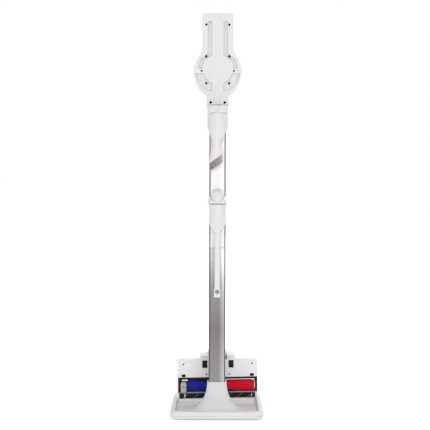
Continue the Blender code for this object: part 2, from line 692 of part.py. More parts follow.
def make_crevice_holder():
    """A band round the column with a shelf behind it, a domed lug above and a peg below."""
    far = TOOL_Y - TOOL_TUBE_RADIUS - 2 * MM
    shapes = [  # height, half width, far edge, near edge
        (HOLDER_Z, 27 * MM, far + 1 * MM, COLUMN_FRONT + 4 * MM),
        (HOLDER_Z + 1.5 * MM, 28.2 * MM, far, COLUMN_FRONT + 5 * MM),
        (HOLDER_Z + 8 * MM, 28.2 * MM, far, COLUMN_FRONT + 5 * MM),
        (HOLDER_Z + 9.5 * MM, 27.4 * MM, far + 10 * MM, COLUMN_FRONT + 4.4 * MM),
        (HOLDER_Z + 23 * MM, COLUMN_WIDTH / 2 + 1.4 * MM, COLUMN_BACK - 14 * MM, COLUMN_FRONT + 1.4 * MM),
    ]
    loops = [
        place_outline(rounded_rect(-half, half, back, near, 18 * MM, 7), "Z", z)
        for z, half, back, near in shapes
    ]
    holder = skin("crevice_holder", loops, "white_plastic")
    dome = [  # height, half width, far edge
        (HOLDER_Z + 5 * MM, 16.6 * MM, far + 1 * MM),
        (HOLDER_Z + 20 * MM, 17.2 * MM, far + 3 * MM),
        (HOLDER_Z + 32 * MM, 16.6 * MM, far + 8 * MM),
        (HOLDER_Z + 38 * MM, 14 * MM, far + 15 * MM),
        (HOLDER_Z + 41.5 * MM, 10 * MM, far + 23 * MM),
        (HOLDER_Z + 43.4 * MM, 4 * MM, far + 32 * MM),
    ]
    near = COLUMN_BACK + 2 * MM
    loops = [place_outline(rounded_rect(-half, half, back, near, half), "Z", z) for z, half, back in dome]
    fuse(holder, skin("add_holder_dome", loops))
    fuse(holder, turned("add_holder_peg", peg_profile(HOLDER_Z), "Z", 0, TOOL_Y))
    passage = (HOLDER_Z - OVERSHOOT, HOLDER_Z + 60 * MM)
    cut(holder, prism("cut_holder_column", column_outline(SLIP), "Z", *passage))


def make_crevice_tool():
    top = HOLDER_Z - 3 * MM
    tube = TOOL_TUBE_RADIUS
    shapes = [  # height below the top, half width, half depth
        (0, tube, tube),
        (42 * MM, tube, tube),
        (58 * MM, tube - 0.8 * MM, tube - 1 * MM),
        (66 * MM, 19.5 * MM, 20 * MM),
        (75 * MM, 12.5 * MM, 16.5 * MM),
        (84 * MM, 7.9 * MM, 14 * MM),
        (98 * MM, 6.8 * MM, 12.5 * MM),
        (135 * MM, 7.6 * MM, 11.8 * MM),
        (CREVICE_LENGTH - 28 * MM, 7.9 * MM, 10.5 * MM),
        (CREVICE_LENGTH - 22.5 * MM, 9.6 * MM, 10.5 * MM),
        (CREVICE_LENGTH - 1.5 * MM, 9.6 * MM, 10 * MM),
        (CREVICE_LENGTH, 8.4 * MM, 8.6 * MM),
    ]
    bore = PEG_RADIUS + SLIP
    passage = [
        (-OVERSHOOT, bore, bore),
        (44 * MM, bore, bore),
        (58 * MM, bore - 1 * MM, bore - 1 * MM),
        (66 * MM, bore - 3 * MM, bore - 2 * MM),
        (75 * MM, bore - 8 * MM, bore - 4 * MM),
        (84 * MM, 6 * MM, 11 * MM),
        (98 * MM, 5.2 * MM, 10 * MM),
        (CREVICE_LENGTH - 28 * MM, 5.2 * MM, 8.2 * MM),
        (CREVICE_LENGTH - 22.5 * MM, 7.6 * MM, 8.2 * MM),
        (CREVICE_LENGTH + OVERSHOOT, 7.6 * MM, 7.8 * MM),
    ]

    def section(drop, half_width, half_depth):
        roundness = min(half_width, half_depth) * (0.999 if drop < 80 * MM else 0.45)
        low, high = TOOL_Y - half_depth, TOOL_Y + half_depth
        outline = rounded_rect(-half_width, half_width, low, high, roundness)
        return place_outline(outline, "Z", top - drop)

    tool = skin("crevice_tool", [section(*s) for s in shapes], "white_plastic", origin=(0, TOOL_Y, top))
    cut(tool, skin("cut_crevice_passage", [section(*s) for s in passage]))
    hole = [(6.3 * MM, TOOL_Y - 20 * MM), (6.3 * MM, TOOL_Y - 2 * MM)]
    cut(tool, turned("cut_bleed_hole", hole, "Y", 0, top - CREVICE_LENGTH + 16 * MM, sides=20))


# ------------------------------------------------------------------ hand unit and wand


def notched_outline(radius, notch):
    """The bin in plan: a circle with a round notch on the dock's side for the duct."""
    apart = BIN_Y - WAND_Y
    towards = (radius**2 - notch**2 + apart**2) / (2 * apart)  # from the bin's axis to the two corners
    corner_x = math.sqrt(radius**2 - towards**2)
    outer_start = math.degrees(math.atan2(-towards, corner_x))
    notch_start = math.degrees(math.atan2(apart - towards, -corner_x)) % 360
    notch_end = math.degrees(math.atan2(apart - towards, corner_x))
    rim = arc(0, BIN_Y, radius, outer_start, 180 - outer_start, 34)
    hollow = arc(0, WAND_Y, notch, notch_start, notch_end, 14)
    return rim + hollow[1:-1]


def housing_lean():
    """How far the housing's straight sides lean from the fore-and-aft direction, in radians."""
    return math.asin((HOUSING_RADIUS - HOUSING_NOSE_RADIUS) / (BIN_Y - HOUSING_NOSE_Y))


def housing_outline(grow=0.0):
    """The motor housing in plan: a circle round the motor and a smaller nose, joined by tangents."""
    large, small = HOUSING_RADIUS + grow, HOUSING_NOSE_RADIUS + grow
    lean = math.degrees(housing_lean())
    back = arc(0, BIN_Y, large, -lean, 180 + lean, 27)
    return back + arc(0, HOUSING_NOSE_Y, small, 180 + lean, 360 - lean, 13)


def make_wand():
    low, high = NECK_TOP + 2 * MM, WAND_TOP
    inner = WAND_RADIUS - WAND_WALL
    profile = [(WAND_RADIUS, low), (WAND_RADIUS, high), (inner, high), (inner, low)]
    turned("wand_tube", profile, "Z", 0, WAND_Y, "white_gloss", ring=True)

    outer, seat, spigot = WAND_RADIUS + 4 * MM, WAND_RADIUS + SLIP, WAND_RADIUS - 1.2 * MM
    base = NECK_TOP - 26 * MM
    profile = [
        (outer - 1.5 * MM, base),
        (outer, base + 3 * MM),
        (outer, base + 54 * MM),
        (outer - 2 * MM, base + 62 * MM),
        (seat, base + 62 * MM),
        (seat, low - GAP),
        (spigot, low - GAP),
        (spigot, base),
    ]
    connector = turned("wand_lower_connector", profile, "Z", 0, WAND_Y, "grey_plastic", ring=True)
    release_button("head_release_button", connector, outer, base + 12 * MM)


def release_button(name, housing, radius, low):
    """A push button on a round socket's far side, in a pocket of its own."""
    half, height, pocket_depth = 5.5 * MM, 17 * MM, 2.6 * MM
    face = WAND_Y + radius
    outline = rounded_rect(-half, half, low, low + height, 4 * MM)
    pocket = rounded_rect(-half - SLIP, half + SLIP, low - SLIP, low + height + SLIP, 4 * MM)
    floor = face - pocket_depth
    cut(housing, prism(f"cut_{name}", pocket, "Y", floor, face + OVERSHOOT))
    loops = [place_outline(outline, "Y", y) for y in (floor + 1.6 * MM, face + 1.2 * MM)]
    skin(name, loops, "grey_plastic", origin=(0, face, low + height / 2))


def make_duct():
    top = HOUSING_Z - GAP
    inner = DUCT_RADIUS - DUCT_WALL
    seat = WAND_RADIUS + SLIP
    shoulder = INLET_Z + INLET_DEPTH
    outer = [
        (INLET_RADIUS - 1.5 * MM, INLET_Z),
        (INLET_RADIUS, INLET_Z + 3 * MM),
        (INLET_RADIUS, shoulder - 7 * MM),
        (DUCT_RADIUS, shoulder),
        (DUCT_RADIUS, top),
    ]
    duct = turned("inlet_duct", outer, "Z", 0, WAND_Y, "white_gloss")
    wand_end = WAND_TOP + GAP
    bore = [(seat, INLET_Z - OVERSHOOT), (seat, wand_end), (inner, wand_end), (inner, top - DUCT_WALL)]
    cut(duct, turned("cut_duct_bore", bore, "Z", 0, WAND_Y))
    low, high = BIN_Z + 46 * MM, BIN_Z + 72 * MM
    side, near, far = 9 * MM, WAND_Y + 8 * MM, BIN_Y
    cut(duct, box("cut_duct_port", (-side, near, low), (side, far, high)))
    release_button("wand_release_button", duct, INLET_RADIUS, INLET_Z + 14 * MM)
    return side, low, high


def make_bin(port):
    notch = DUCT_RADIUS + BIN_NOTCH_CLEARANCE
    outer = notched_outline(BIN_RADIUS, notch)
    inner = notched_outline(BIN_RADIUS - BIN_WALL, notch + BIN_WALL)
    top = BIN_Z + BIN_HEIGHT
    walls = ((outer, BIN_Z), (outer, top), (inner, top), (inner, BIN_Z))
    loops = [place_outline(outline, "Z", z) for outline, z in walls]
    bin_shell = skin("dust_bin", loops, "clear_plastic", ring=True)
    side, low, high = port
    cut(bin_shell, box("cut_bin_port", (-side, WAND_Y + 8 * MM, low), (side, BIN_Y, high)))

    # door, hinged at the side away from the dock so that it swings clear of the wand
    door_top = BIN_Z - GAP
    door_low = door_top - DOOR_THICKNESS
    pin_y, pin_z, pin_radius = BIN_Y + BIN_RADIUS + 4 * MM, BIN_Z - 4 * MM, 2 * MM
    barrel_half, lug_thick = 14 * MM, 7 * MM
    lug_near = BIN_Y + BIN_RADIUS - 6 * MM
    for number, side_sign in enumerate((-1, 1)):
        near = side_sign * (barrel_half + SLIP)
        far = side_sign * (barrel_half + SLIP + lug_thick)
        shape = rounded_rect(lug_near, pin_y + 4.5 * MM, pin_z - 4.5 * MM, BIN_Z + 10 * MM, 4 * MM, 3)
        fuse(bin_shell, prism(f"add_bin_lug_{number}", shape, "X", min(near, far), max(near, far)))
    hole = pin_radius + SLIP
    span = barrel_half + lug_thick + 2 * OVERSHOOT
    cut(bin_shell, turned("cut_lug_holes", [(hole, -span), (hole, span)], "X", pin_y, pin_z, sides=12))
    # each lug stands clear of the door's rim, which swings towards it at first
    door_radius = BIN_RADIUS - 2 * MM
    relief = arc(0, BIN_Y, door_radius + DOOR_SWING_ROOM, 0, 350, 35)
    cut(bin_shell, prism("cut_lug_relief", relief, "Z", door_low - OVERSHOOT, BIN_Z))

    pivot = (0, pin_y, pin_z)
    plan = notched_outline(door_radius, notch)
    door = prism("bin_door", plan, "Z", door_low, door_top, "white_gloss", origin=pivot)
    tongue = box_outline(-barrel_half, barrel_half, BIN_Y + door_radius - 10 * MM, pin_y)
    fuse(door, prism("add_door_tongue", tongue, "Z", door_low, door_top, origin=pivot))
    barrel = [(4.2 * MM, -barrel_half), (4.2 * MM, barrel_half)]
    fuse(door, turned("add_door_barrel", barrel, "X", pin_y, pin_z, sides=16, origin=pivot))
    bore = [(hole, -span), (hole, span)]
    cut(door, turned("cut_door_pin", bore, "X", pin_y, pin_z, sides=12, origin=pivot))
    pin_half = barrel_half + lug_thick
    pin = [(pin_radius, -pin_half), (pin_radius, pin_half)]
    turned("bin_hinge_pin", pin, "X", pin_y, pin_z, "zinc_steel", sides=12)

    # latch: a sprung side button whose toe bears on the door's rim
    latch_x, latch_half, latch_top = BIN_RADIUS + SLIP, 8 * MM, BIN_Z + 24 * MM
    latch = [
        (latch_x, BIN_Z - 6 * MM),
        (latch_x + 4.5 * MM, BIN_Z - 6 * MM),
        (latch_x + 5 * MM, BIN_Z + 6 * MM),
        (latch_x + 3.6 * MM, latch_top - 1 * MM),
        (latch_x + 2.4 * MM, latch_top),
        (latch_x, latch_top),
    ]
    loops = [place_outline(latch, "Y", y) for y in (BIN_Y - latch_half, BIN_Y + latch_half)]
    skin("bin_latch", loops, "grey_plastic", origin=(latch_x, BIN_Y, latch_top))
    for number, side_sign in enumerate((-1, 1)):
        near, far = sorted((side_sign * (latch_half + SLIP), side_sign * (latch_half + 3 * MM)))
        low = (BIN_RADIUS - BIN_WALL / 2, BIN_Y + near, latch_top - 8 * MM)
        high = (latch_x + 3.6 * MM, BIN_Y + far, latch_top + 2 * MM)
        fuse(bin_shell, box(f"add_latch_lug_{number}", low, high))

    cone_y, cone_radius = BIN_Y + 15.5 * MM, 23 * MM
    cone = [
        (8 * MM, BIN_Z + 12 * MM),
        (12 * MM, BIN_Z + 34 * MM),
        (15 * MM, BIN_Z + 38 * MM),
        (cone_radius, BIN_Z + 42 * MM),
        (cone_radius, top - 6 * MM),
        (cone_radius + 2.5 * MM, top - 5.5 * MM),
        (cone_radius + 2.5 * MM, top - GAP),
    ]
    turned("cyclone_cone", cone, "Z", 0, cone_y, "cast_aluminium")


def make_motor_unit():
    bore = HOUSING_RADIUS - HOUSING_WALL
    count = len(housing_outline())
    start = math.degrees(housing_lean())

    def bore_loop(radius, z):
        return place_outline(arc(0, BIN_Y, radius, -start, 360 - start - 360 / count, count - 1), "Z", z)

    neck = CAP_RADIUS - 4 * MM
    loops = [
        place_outline(housing_outline(-0.8 * MM), "Z", HOUSING_Z),
        place_outline(housing_outline(), "Z", HOUSING_Z + 2 * MM),
        place_outline(housing_outline(), "Z", HOUSING_TOP - 9 * MM),
        place_outline(housing_outline(-1.2 * MM), "Z", HOUSING_TOP - 4 * MM),
        place_outline(housing_outline(-4 * MM), "Z", HOUSING_TOP - 1 * MM),
        place_outline(housing_outline(-6 * MM), "Z", HOUSING_TOP),
        bore_loop(neck, HOUSING_TOP),
        bore_loop(neck, HOUSING_TOP - 4 * MM),
        bore_loop(bore, HOUSING_TOP - 6 * MM),
        bore_loop(bore, HOUSING_Z),
    ]
    skin("motor_housing", loops, "white_gloss", ring=True)

    filter_low = HOUSING_Z + 2 * MM
    disc = [(bore - SLIP, filter_low), (bore - SLIP, filter_low + 11 * MM)]
    turned("pre_motor_filter", disc, "Z", 0, BIN_Y, "filter_foam", sides=32)

    blades, hub, reach = 9, 9 * MM, 30 * MM
    middle = 0.6 * reach
    blade = [(hub, 0.0), (middle, 0.16), (reach, 0.42), (reach, 0.56), (middle, 0.32), (hub, 0.2)]
    outline = []
    for number in range(blades):
        turn = 2 * math.pi * number / blades
        for radius, lag in blade:
            outline.append((radius * math.cos(turn + lag), BIN_Y + radius * math.sin(turn + lag)))
    wheel_low = filter_low + 15 * MM
    place = (0, BIN_Y, wheel_low)
    wheel = prism("impeller", outline, "Z", wheel_low, wheel_low + 12 * MM, "zinc_steel", origin=place)
    motor_low = wheel_low + 12 * MM + SLIP
    shaft = 3 * MM
    profile = [(shaft, motor_low - 6 * MM), (shaft, motor_low + 16 * MM)]
    fuse(wheel, turned("add_impeller_shaft", profile, "Z", 0, BIN_Y, sides=12, origin=place))
    motor = [
        (22 * MM, motor_low),
        (31 * MM, motor_low + 4 * MM),
        (31 * MM, motor_low + 46 * MM),
        (26 * MM, motor_low + 52 * MM),
        (12 * MM, motor_low + 56 * MM),
    ]
    body = turned("suction_motor", motor, "Z", 0, BIN_Y, "cast_aluminium")
    bore = [(shaft + SLIP, motor_low - OVERSHOOT), (shaft + SLIP, motor_low + 17 * MM)]
    cut(body, turned("cut_motor_bore", bore, "Z", 0, BIN_Y, sides=12))

    low = HOUSING_TOP + GAP
    high = low + CAP_HEIGHT
    wall = 3 * MM
    profile = [
        (CAP_RADIUS, low),
        (CAP_RADIUS, high - 4 * MM),
        (CAP_RADIUS - 2 * MM, high - 1.2 * MM),
        (CAP_RADIUS - 6 * MM, high),
        (12 * MM, high - 2 * MM),
        (12 * MM, high - 2 * MM - wall),
        (CAP_RADIUS - wall - 4 * MM, high - wall),
        (CAP_RADIUS - wall, high - wall - 2 * MM),
        (CAP_RADIUS - wall, low),
    ]
    place = (0, BIN_Y, low)
    cap = turned("exhaust_filter_cap", profile, "Z", 0, BIN_Y, "grey_plastic", ring=True, origin=place)
    for number in range(CAP_SLOTS // 2):
        turn = math.pi * (number + 0.5) / (CAP_SLOTS // 2)
        across = Vector((math.cos(turn), math.sin(turn), 0))
        side = Vector((-across.y, across.x, 0)) * 1.6 * MM
        reach = across * (CAP_RADIUS + OVERSHOOT)
        middle = Vector((0, BIN_Y, 0))
        plan = [reach + side, side - reach, -reach - side, reach - side]
        outline = [((middle + p).x, (middle + p).y) for p in plan]
        levels = (low + 2.5 * MM, high - 4.5 * MM)
        cut(cap, prism(f"cut_cap_slot_{number}", outline, "Z", *levels, origin=place))


def make_shoe():
    """The bracket on the housing's nose that drops over the dock's rail: open below, closed above."""
    foot = DOCK_FRONT + GAP + RAIL_PLATE + 0.7 * MM
    near = HOUSING_NOSE_Y - 0.6 * HOUSING_NOSE_RADIUS
    low, high = RAIL_Z - 2 * MM, RAIL_TOP + 10 * MM
    half = RAIL_LIP_HALF + 7 * MM
    plan = rounded_rect(-half, half, foot, near, 3 * MM, 2)
    shoe = prism("dock_shoe", plan, "Z", low, high, "grey_plastic")
    lip = DOCK_FRONT + GAP + RAIL_PLATE + RAIL_STEM
    stem_half, lip_half = RAIL_STEM_HALF + SLIP, RAIL_LIP_HALF + SLIP
    half_slot = [
        (stem_half, foot - OVERSHOOT),
        (stem_half, lip - SLIP),
        (lip_half, lip - SLIP),
        (lip_half, lip + RAIL_LIP + SLIP),
    ]
    slot = half_slot + mirrored(half_slot)
    cut(shoe, prism("cut_shoe_slot", slot, "Z", low - OVERSHOOT, RAIL_TOP + GAP))
    body = housing_outline(GAP)
    cut(shoe, prism("cut_shoe_seat", body, "Z", low - OVERSHOOT, high + OVERSHOOT))


def handle_outline():
    """The handle from the side: a bar held off the housing by a bridge at each end."""
    near, far, grip = HANDLE_NEAR, HANDLE_FAR, GRIP_NEAR
    low, high = HOUSING_Z + 1 * MM, HOUSING_TOP - 1 * MM
    inner_low, inner_high = low + BRIDGE_LOW, high - BRIDGE_HIGH
    outer, inner = 16 * MM, 9 * MM
    points = [(near, low)]
    points += arc(far - outer, low + outer, outer, -90, 0)
    points += arc(far - outer, high - outer, outer, 0, 90)
    points += [(near, high), (near, inner_high)]
    points += arc(grip - inner, inner_high - inner, inner, 90, 0)
    points += arc(grip - inner, inner_low + inner, inner, 0, -90)
    points += [(near, inner_low)]
    return points


def inset_outline(points, inset):
    """The outline moved inwards by the same amount all round; its points run anticlockwise."""
    moved = []
    for before, here, after in zip(points[-1:] + points[:-1], points, points[1:] + points[:1]):
        here, before, after = Vector(here), Vector(before), Vector(after)
        first, second = (here - before).normalized(), (after - here).normalized()
        normal = Vector((-first.y, first.x)) + Vector((-second.y, second.x))
        normal.normalize()
        moved.append(tuple(here + normal * inset / max(0.5, normal.dot(Vector((-first.y, first.x))))))
    return moved


def make_handle():
    points = handle_outline()
    button_z, button_radius = HOUSING_TOP - 42 * MM, 6.5 * MM
    pivot = (0, GRIP_NEAR + 8 * MM, HOUSING_TOP - 37 * MM)
    slot_low, slot_high = pivot[2] - 36 * MM, pivot[2] + 5 * MM
    wall = 3.2 * MM
    for side, name in ((-1, "handle_shell_left"), (1, "handle_shell_right")):
        half = HANDLE_HALF
        levels = [(0, GAP / 2), (0, half - 6 * MM), (1.8 * MM, half - 2 * MM), (5.5 * MM, half)]
        loops = [place_outline(inset_outline(points, inset), "X", side * x) for inset, x in levels]
        shell = skin(name, loops, "white_gloss")
        low, high = HOUSING_Z + BRIDGE_LOW, HOUSING_TOP - 20 * MM
        room = rounded_rect(GRIP_NEAR + wall, HANDLE_FAR - wall, low, high, 5 * MM, 3)
        reach = sorted((side * (HANDLE_HALF - wall), -side * OVERSHOOT))
        cut(shell, prism(f"cut_{name}_room", room, "X", *reach))
        slot = (5 * MM + SLIP, GRIP_NEAR - OVERSHOOT, GRIP_NEAR + wall + OVERSHOOT)
        cut(shell, box(f"cut_{name}_slot", (-slot[0], slot[1], slot_low), (slot[0], slot[2], slot_high)))
        clear = button_radius + SLIP
        hole = [(clear, HANDLE_FAR - wall - OVERSHOOT), (clear, HANDLE_FAR + OVERSHOOT)]
        cut(shell, turned(f"cut_{name}_button", hole, "Y", 0, button_z))
        low, high = battery_plug(SLIP)
        cut(shell, box(f"cut_{name}_plug", low, high))

    finger = [
        (pivot[1] + 3 * MM, pivot[2] + 3 * MM),
        (pivot[1] - 4 * MM, pivot[2] + 4 * MM),
        (GRIP_NEAR - 0.6 * MM, pivot[2] - 1 * MM),
        (GRIP_NEAR - 4.5 * MM, pivot[2] - 10 * MM),
        (GRIP_NEAR - 4 * MM, pivot[2] - 20 * MM),
        (GRIP_NEAR - 6.5 * MM, pivot[2] - 30 * MM),
        (GRIP_NEAR + 1.5 * MM, pivot[2] - 32 * MM),
        (pivot[1] - 2 * MM, pivot[2] - 26 * MM),
        (pivot[1] + 3 * MM, pivot[2] - 6 * MM),
    ]
    prism("trigger", finger, "X", -5 * MM, 5 * MM, "grey_plastic", origin=pivot)

    press = [
        (button_radius, HANDLE_FAR - 4 * MM),
        (button_radius, HANDLE_FAR + 0.6 * MM),
        (button_radius - 1 * MM, HANDLE_FAR + 1.6 * MM),
    ]
    turned("mode_button", press, "Y", 0, button_z, "grey_plastic", origin=(0, HANDLE_FAR, button_z))

    board_y = HANDLE_FAR - wall - 9 * MM
    low, high = HOUSING_Z + BRIDGE_LOW + 4 * MM, HOUSING_TOP - 24 * MM
    step = [
        (board_y, low),
        (board_y + 1.6 * MM, low),
        (board_y + 1.6 * MM, button_z - 5 * MM),
        (board_y + 3.2 * MM, button_z - 5 * MM),
        (board_y + 3.2 * MM, button_z + 5 * MM),
        (board_y + 1.6 * MM, button_z + 5 * MM),
        (board_y + 1.6 * MM, high),
        (board_y, high),
    ]
    prism("control_board", step, "X", -10 * MM, 10 * MM, "green_board")


def battery_plug(grow):
    """Corners of the boss on the pack that fits up into the handle."""
    half, near, far = 8 * MM + grow, HANDLE_FAR - 34 * MM - grow, HANDLE_FAR - 10 * MM + grow
    return (-half, near, HOUSING_Z - 4 * MM), (half, far, HOUSING_Z + 11 * MM + grow)


def make_battery():
    top = HOUSING_Z + 1 * MM - GAP
    low = top - BATTERY_HEIGHT
    half = BATTERY_WIDTH / 2
    near, far = HANDLE_FAR - BATTERY_DEPTH, HANDLE_FAR
    shapes = [(3 * MM, low), (0.6 * MM, low + 2 * MM), (0, low + 5 * MM), (0, top - 3 * MM), (1.5 * MM, top)]
    loops = []
    for inset, z in shapes:
        plan = rounded_rect(inset - half, half - inset, near + inset, far - inset, 9 * MM)
        loops.append(place_outline(plan, "Z", z))
    pack = skin("battery_pack", loops, "grey_plastic", origin=(0, far, top))
    latch_half, latch_low, latch_high = 9 * MM, top - 19 * MM, top - 7 * MM
    reach = latch_half + SLIP
    pocket = rounded_rect(-reach, reach, latch_low - SLIP, latch_high + SLIP, 3 * MM, 2)
    cut(pack, prism("cut_battery_latch", pocket, "Y", far - 6 * MM, far + OVERSHOOT))
    fuse(pack, box("add_battery_plug", *battery_plug(0), origin=(0, far, top)))
    key = rounded_rect(-latch_half, latch_half, latch_low, latch_high, 3 * MM, 2)
    loops = [place_outline(key, "Y", y) for y in (far - 3.5 * MM, far + 0.8 * MM)]
    skin("battery_latch", loops, "dark_plastic", origin=(0, far, (latch_low + latch_high) / 2))


# ------------------------------------------------------------------ floor head


def make_neck(frame):
    """The elbow that turns in the wand's connector and carries the head's tilt axis."""
    spigot = WAND_RADIUS - 1.2 * MM - SLIP
    top = NECK_TOP - TILT_Z
    collar_top = top - 26 * MM - GAP
    profile = [
        (13 * MM, 0),
        (spigot - 1.4 * MM, 12 * MM),
        (spigot - 1.4 * MM, collar_top - 15 * MM),
        (22 * MM, collar_top - 12 * MM),
        (22 * MM, collar_top),
        (spigot, collar_top),
        (spigot, top - 1.5 * MM),
        (spigot - 1.5 * MM, top),
    ]
    elbow = turned("neck_elbow", profile, "Z", 0, 0, "grey_plastic", frame=frame)
    barrel_half, stub = EAR_INNER - 2 * SLIP, EAR_INNER + 6 * MM
    barrel = [
        (STUB_RADIUS, -stub),
        (STUB_RADIUS, -barrel_half),
        (BARREL_RADIUS - 1.2 * MM, -barrel_half),
        (BARREL_RADIUS, -barrel_half + 1.2 * MM),
        (BARREL_RADIUS, barrel_half - 1.2 * MM),
        (BARREL_RADIUS - 1.2 * MM, barrel_half),
        (STUB_RADIUS, barrel_half),
        (STUB_RADIUS, stub),
    ]
    fuse(elbow, turned("add_neck_barrel", barrel, "X", 0, 0, frame=frame))
    bore = [(11 * MM, 4 * MM), (11 * MM, top + OVERSHOOT)]
    cut(elbow, turned("cut_neck_bore", bore, "Z", 0, 0, frame=frame))


def head_profile():
    """The head's shell from the side, as (distance from the sole, distance along): rear edge to nose."""
    rear, under = SOLE_REAR, SOLE + SOLE_THICKNESS + GAP
    hood = BRUSH_RADIUS + 5.4 * MM
    nose_y, nose_z = FRONT_ROLLER_Y + 1.5 * MM, FRONT_ROLLER_Z + 1.5 * MM
    nose = FRONT_ROLLER_RADIUS + 3.4 * MM
    points = [(under, rear)]
    points += arc(2 * MM, rear - 7 * MM, 7 * MM, 90, 20, 4)
    points += arc(BRUSH_Y, BRUSH_Z, hood, 25, -62, 12)
    points += arc(nose_y, nose_z, nose, -38, -120, 6)
    points += [(under, nose_z - 0.62 * nose)]
    return points


def make_head_shell(frame):
    half = HEAD_WIDTH / 2
    profile = head_profile()
    levels = [(5 * MM, -half), (1.6 * MM, -half + 1.6 * MM), (0, -half + 5 * MM)]
    levels += [(inset, -x) for inset, x in reversed(levels)]
    loops = []
    middle_y, middle_z = -12 * MM, BRUSH_Z + 25 * MM
    for inset, x in levels:
        keep_y, keep_z = 1 - inset / (22 * MM), 1 - inset / (60 * MM)
        loop = []
        for y, z in profile:
            y_in = y if y < SOLE + 6 * MM else middle_y + (y - middle_y) * keep_y
            loop.append((x, y_in, middle_z + (z - middle_z) * keep_z))
        loops.append(loop)
    shell = skin("head_top_shell", loops, "white_plastic", frame=frame)

    # ears that carry the neck, each around one wheel
    under = SOLE + SOLE_THICKNESS + GAP
    for number, side in enumerate((-1, 1)):
        ear = [(under, -45 * MM), (under, EAR_REAR)]
        ear += arc(0, 0, 10.5 * MM, 70, 0, 4)
        ear += [(9 * MM, -45 * MM)]
        span = sorted((side * EAR_INNER, side * EAR_OUTER))
        fuse(shell, prism(f"add_ear_{number}", ear, "X", *span, frame=frame))

    wall = 3 * MM
    brush_room, front_room = BRUSH_RADIUS + 2.2 * MM, FRONT_ROLLER_RADIUS + 1.2 * MM
    half_room = half - 6 * MM
    room = [(brush_room, -half_room), (brush_room, half_room)]
    cut(shell, turned("cut_brush_room", room, "X", BRUSH_Y, BRUSH_Z, frame=frame))
    bearing, end = BRUSH_AXLE_RADIUS + SLIP, half - 2.5 * MM
    hole = [(bearing, -end), (bearing, end)]
    cut(shell, turned("cut_brush_bearings", hole, "X", BRUSH_Y, BRUSH_Z, sides=12, frame=frame))
    mouth = (SOLE - OVERSHOOT, BRUSH_Y, BRUSH_Z - 19.5 * MM, BRUSH_Z + 21 * MM)
    cut(shell, prism("cut_brush_mouth", box_outline(*mouth), "X", -half_room, half_room, frame=frame))
    low, high = -half + 5.5 * MM, half - 7.5 * MM
    room = [(front_room, low), (front_room, high)]
    place = FRONT_ROLLER_Y, FRONT_ROLLER_Z
    cut(shell, turned("cut_front_room", room, "X", *place, sides=20, frame=frame))
    mouth = (SOLE - OVERSHOOT, FRONT_ROLLER_Y, FRONT_ROLLER_Z - front_room, FRONT_ROLLER_Z + front_room)
    cut(shell, prism("cut_front_mouth", box_outline(*mouth), "X", low, high, frame=frame))
    # rear rooms beside the ears: motor and belt on the left, wiring on the right
    rear_low, rear_high = BRUSH_Z + BRUSH_RADIUS + 6 * MM, SOLE_REAR - wall
    inner, outer = EAR_OUTER + wall, half - 7 * MM
    for number, span in enumerate(((-outer, -inner), (inner, outer))):
        shape = box_outline(SOLE - OVERSHOOT, 1 * MM, rear_low, rear_high)
        cut(shell, prism(f"cut_rear_room_{number}", shape, "X", *span, frame=frame))
    belt_half = BELT_WIDTH / 2 + 2.5 * MM
    shape = box_outline(SOLE - OVERSHOOT, 1 * MM, BRUSH_Z, rear_high)
    span = PULLEY_X - belt_half, PULLEY_X + belt_half
    cut(shell, prism("cut_belt_room", shape, "X", *span, frame=frame))
    # room for the neck between the ears as the head tilts
    neck_room = BARREL_RADIUS + 1.3 * MM
    beyond, floor = 40 * MM, -neck_room - 6 * MM
    swing = arc(0, 0, neck_room, 180, 260, 7)
    swing += [(0, floor), (beyond, floor), (beyond, 30 * MM), (-neck_room, 30 * MM)]
    cut(shell, prism("cut_neck_room", swing, "X", -EAR_INNER, EAR_INNER, frame=frame))
    hole = STUB_RADIUS + SLIP
    reach = EAR_INNER + 7 * MM
    stub_hole = [(hole, -reach), (hole, reach)]
    cut(shell, turned("cut_stub_holes", stub_hole, "X", 0, 0, sides=16, frame=frame))
    well_half, well_radius = WHEEL_WIDTH / 2 + 1 * MM, WHEEL_RADIUS + 1.5 * MM
    axle = AXLE_RADIUS + SLIP
    for number, side in enumerate((-1, 1)):
        middle = side * WHEEL_X
        low, high = WHEEL_Z - well_radius, WHEEL_Z + well_radius
        well = box_outline(SOLE - OVERSHOOT, WHEEL_Y + well_radius, low, high)
        span = (middle - well_half, middle + well_half)
        cut(shell, prism(f"cut_wheel_well_{number}", well, "X", *span, frame=frame))
        hole = [(axle, middle - 10.5 * MM), (axle, middle + 10.5 * MM)]
        cut(shell, turned(f"cut_axle_{number}", hole, "X", WHEEL_Y, WHEEL_Z, sides=12, frame=frame))


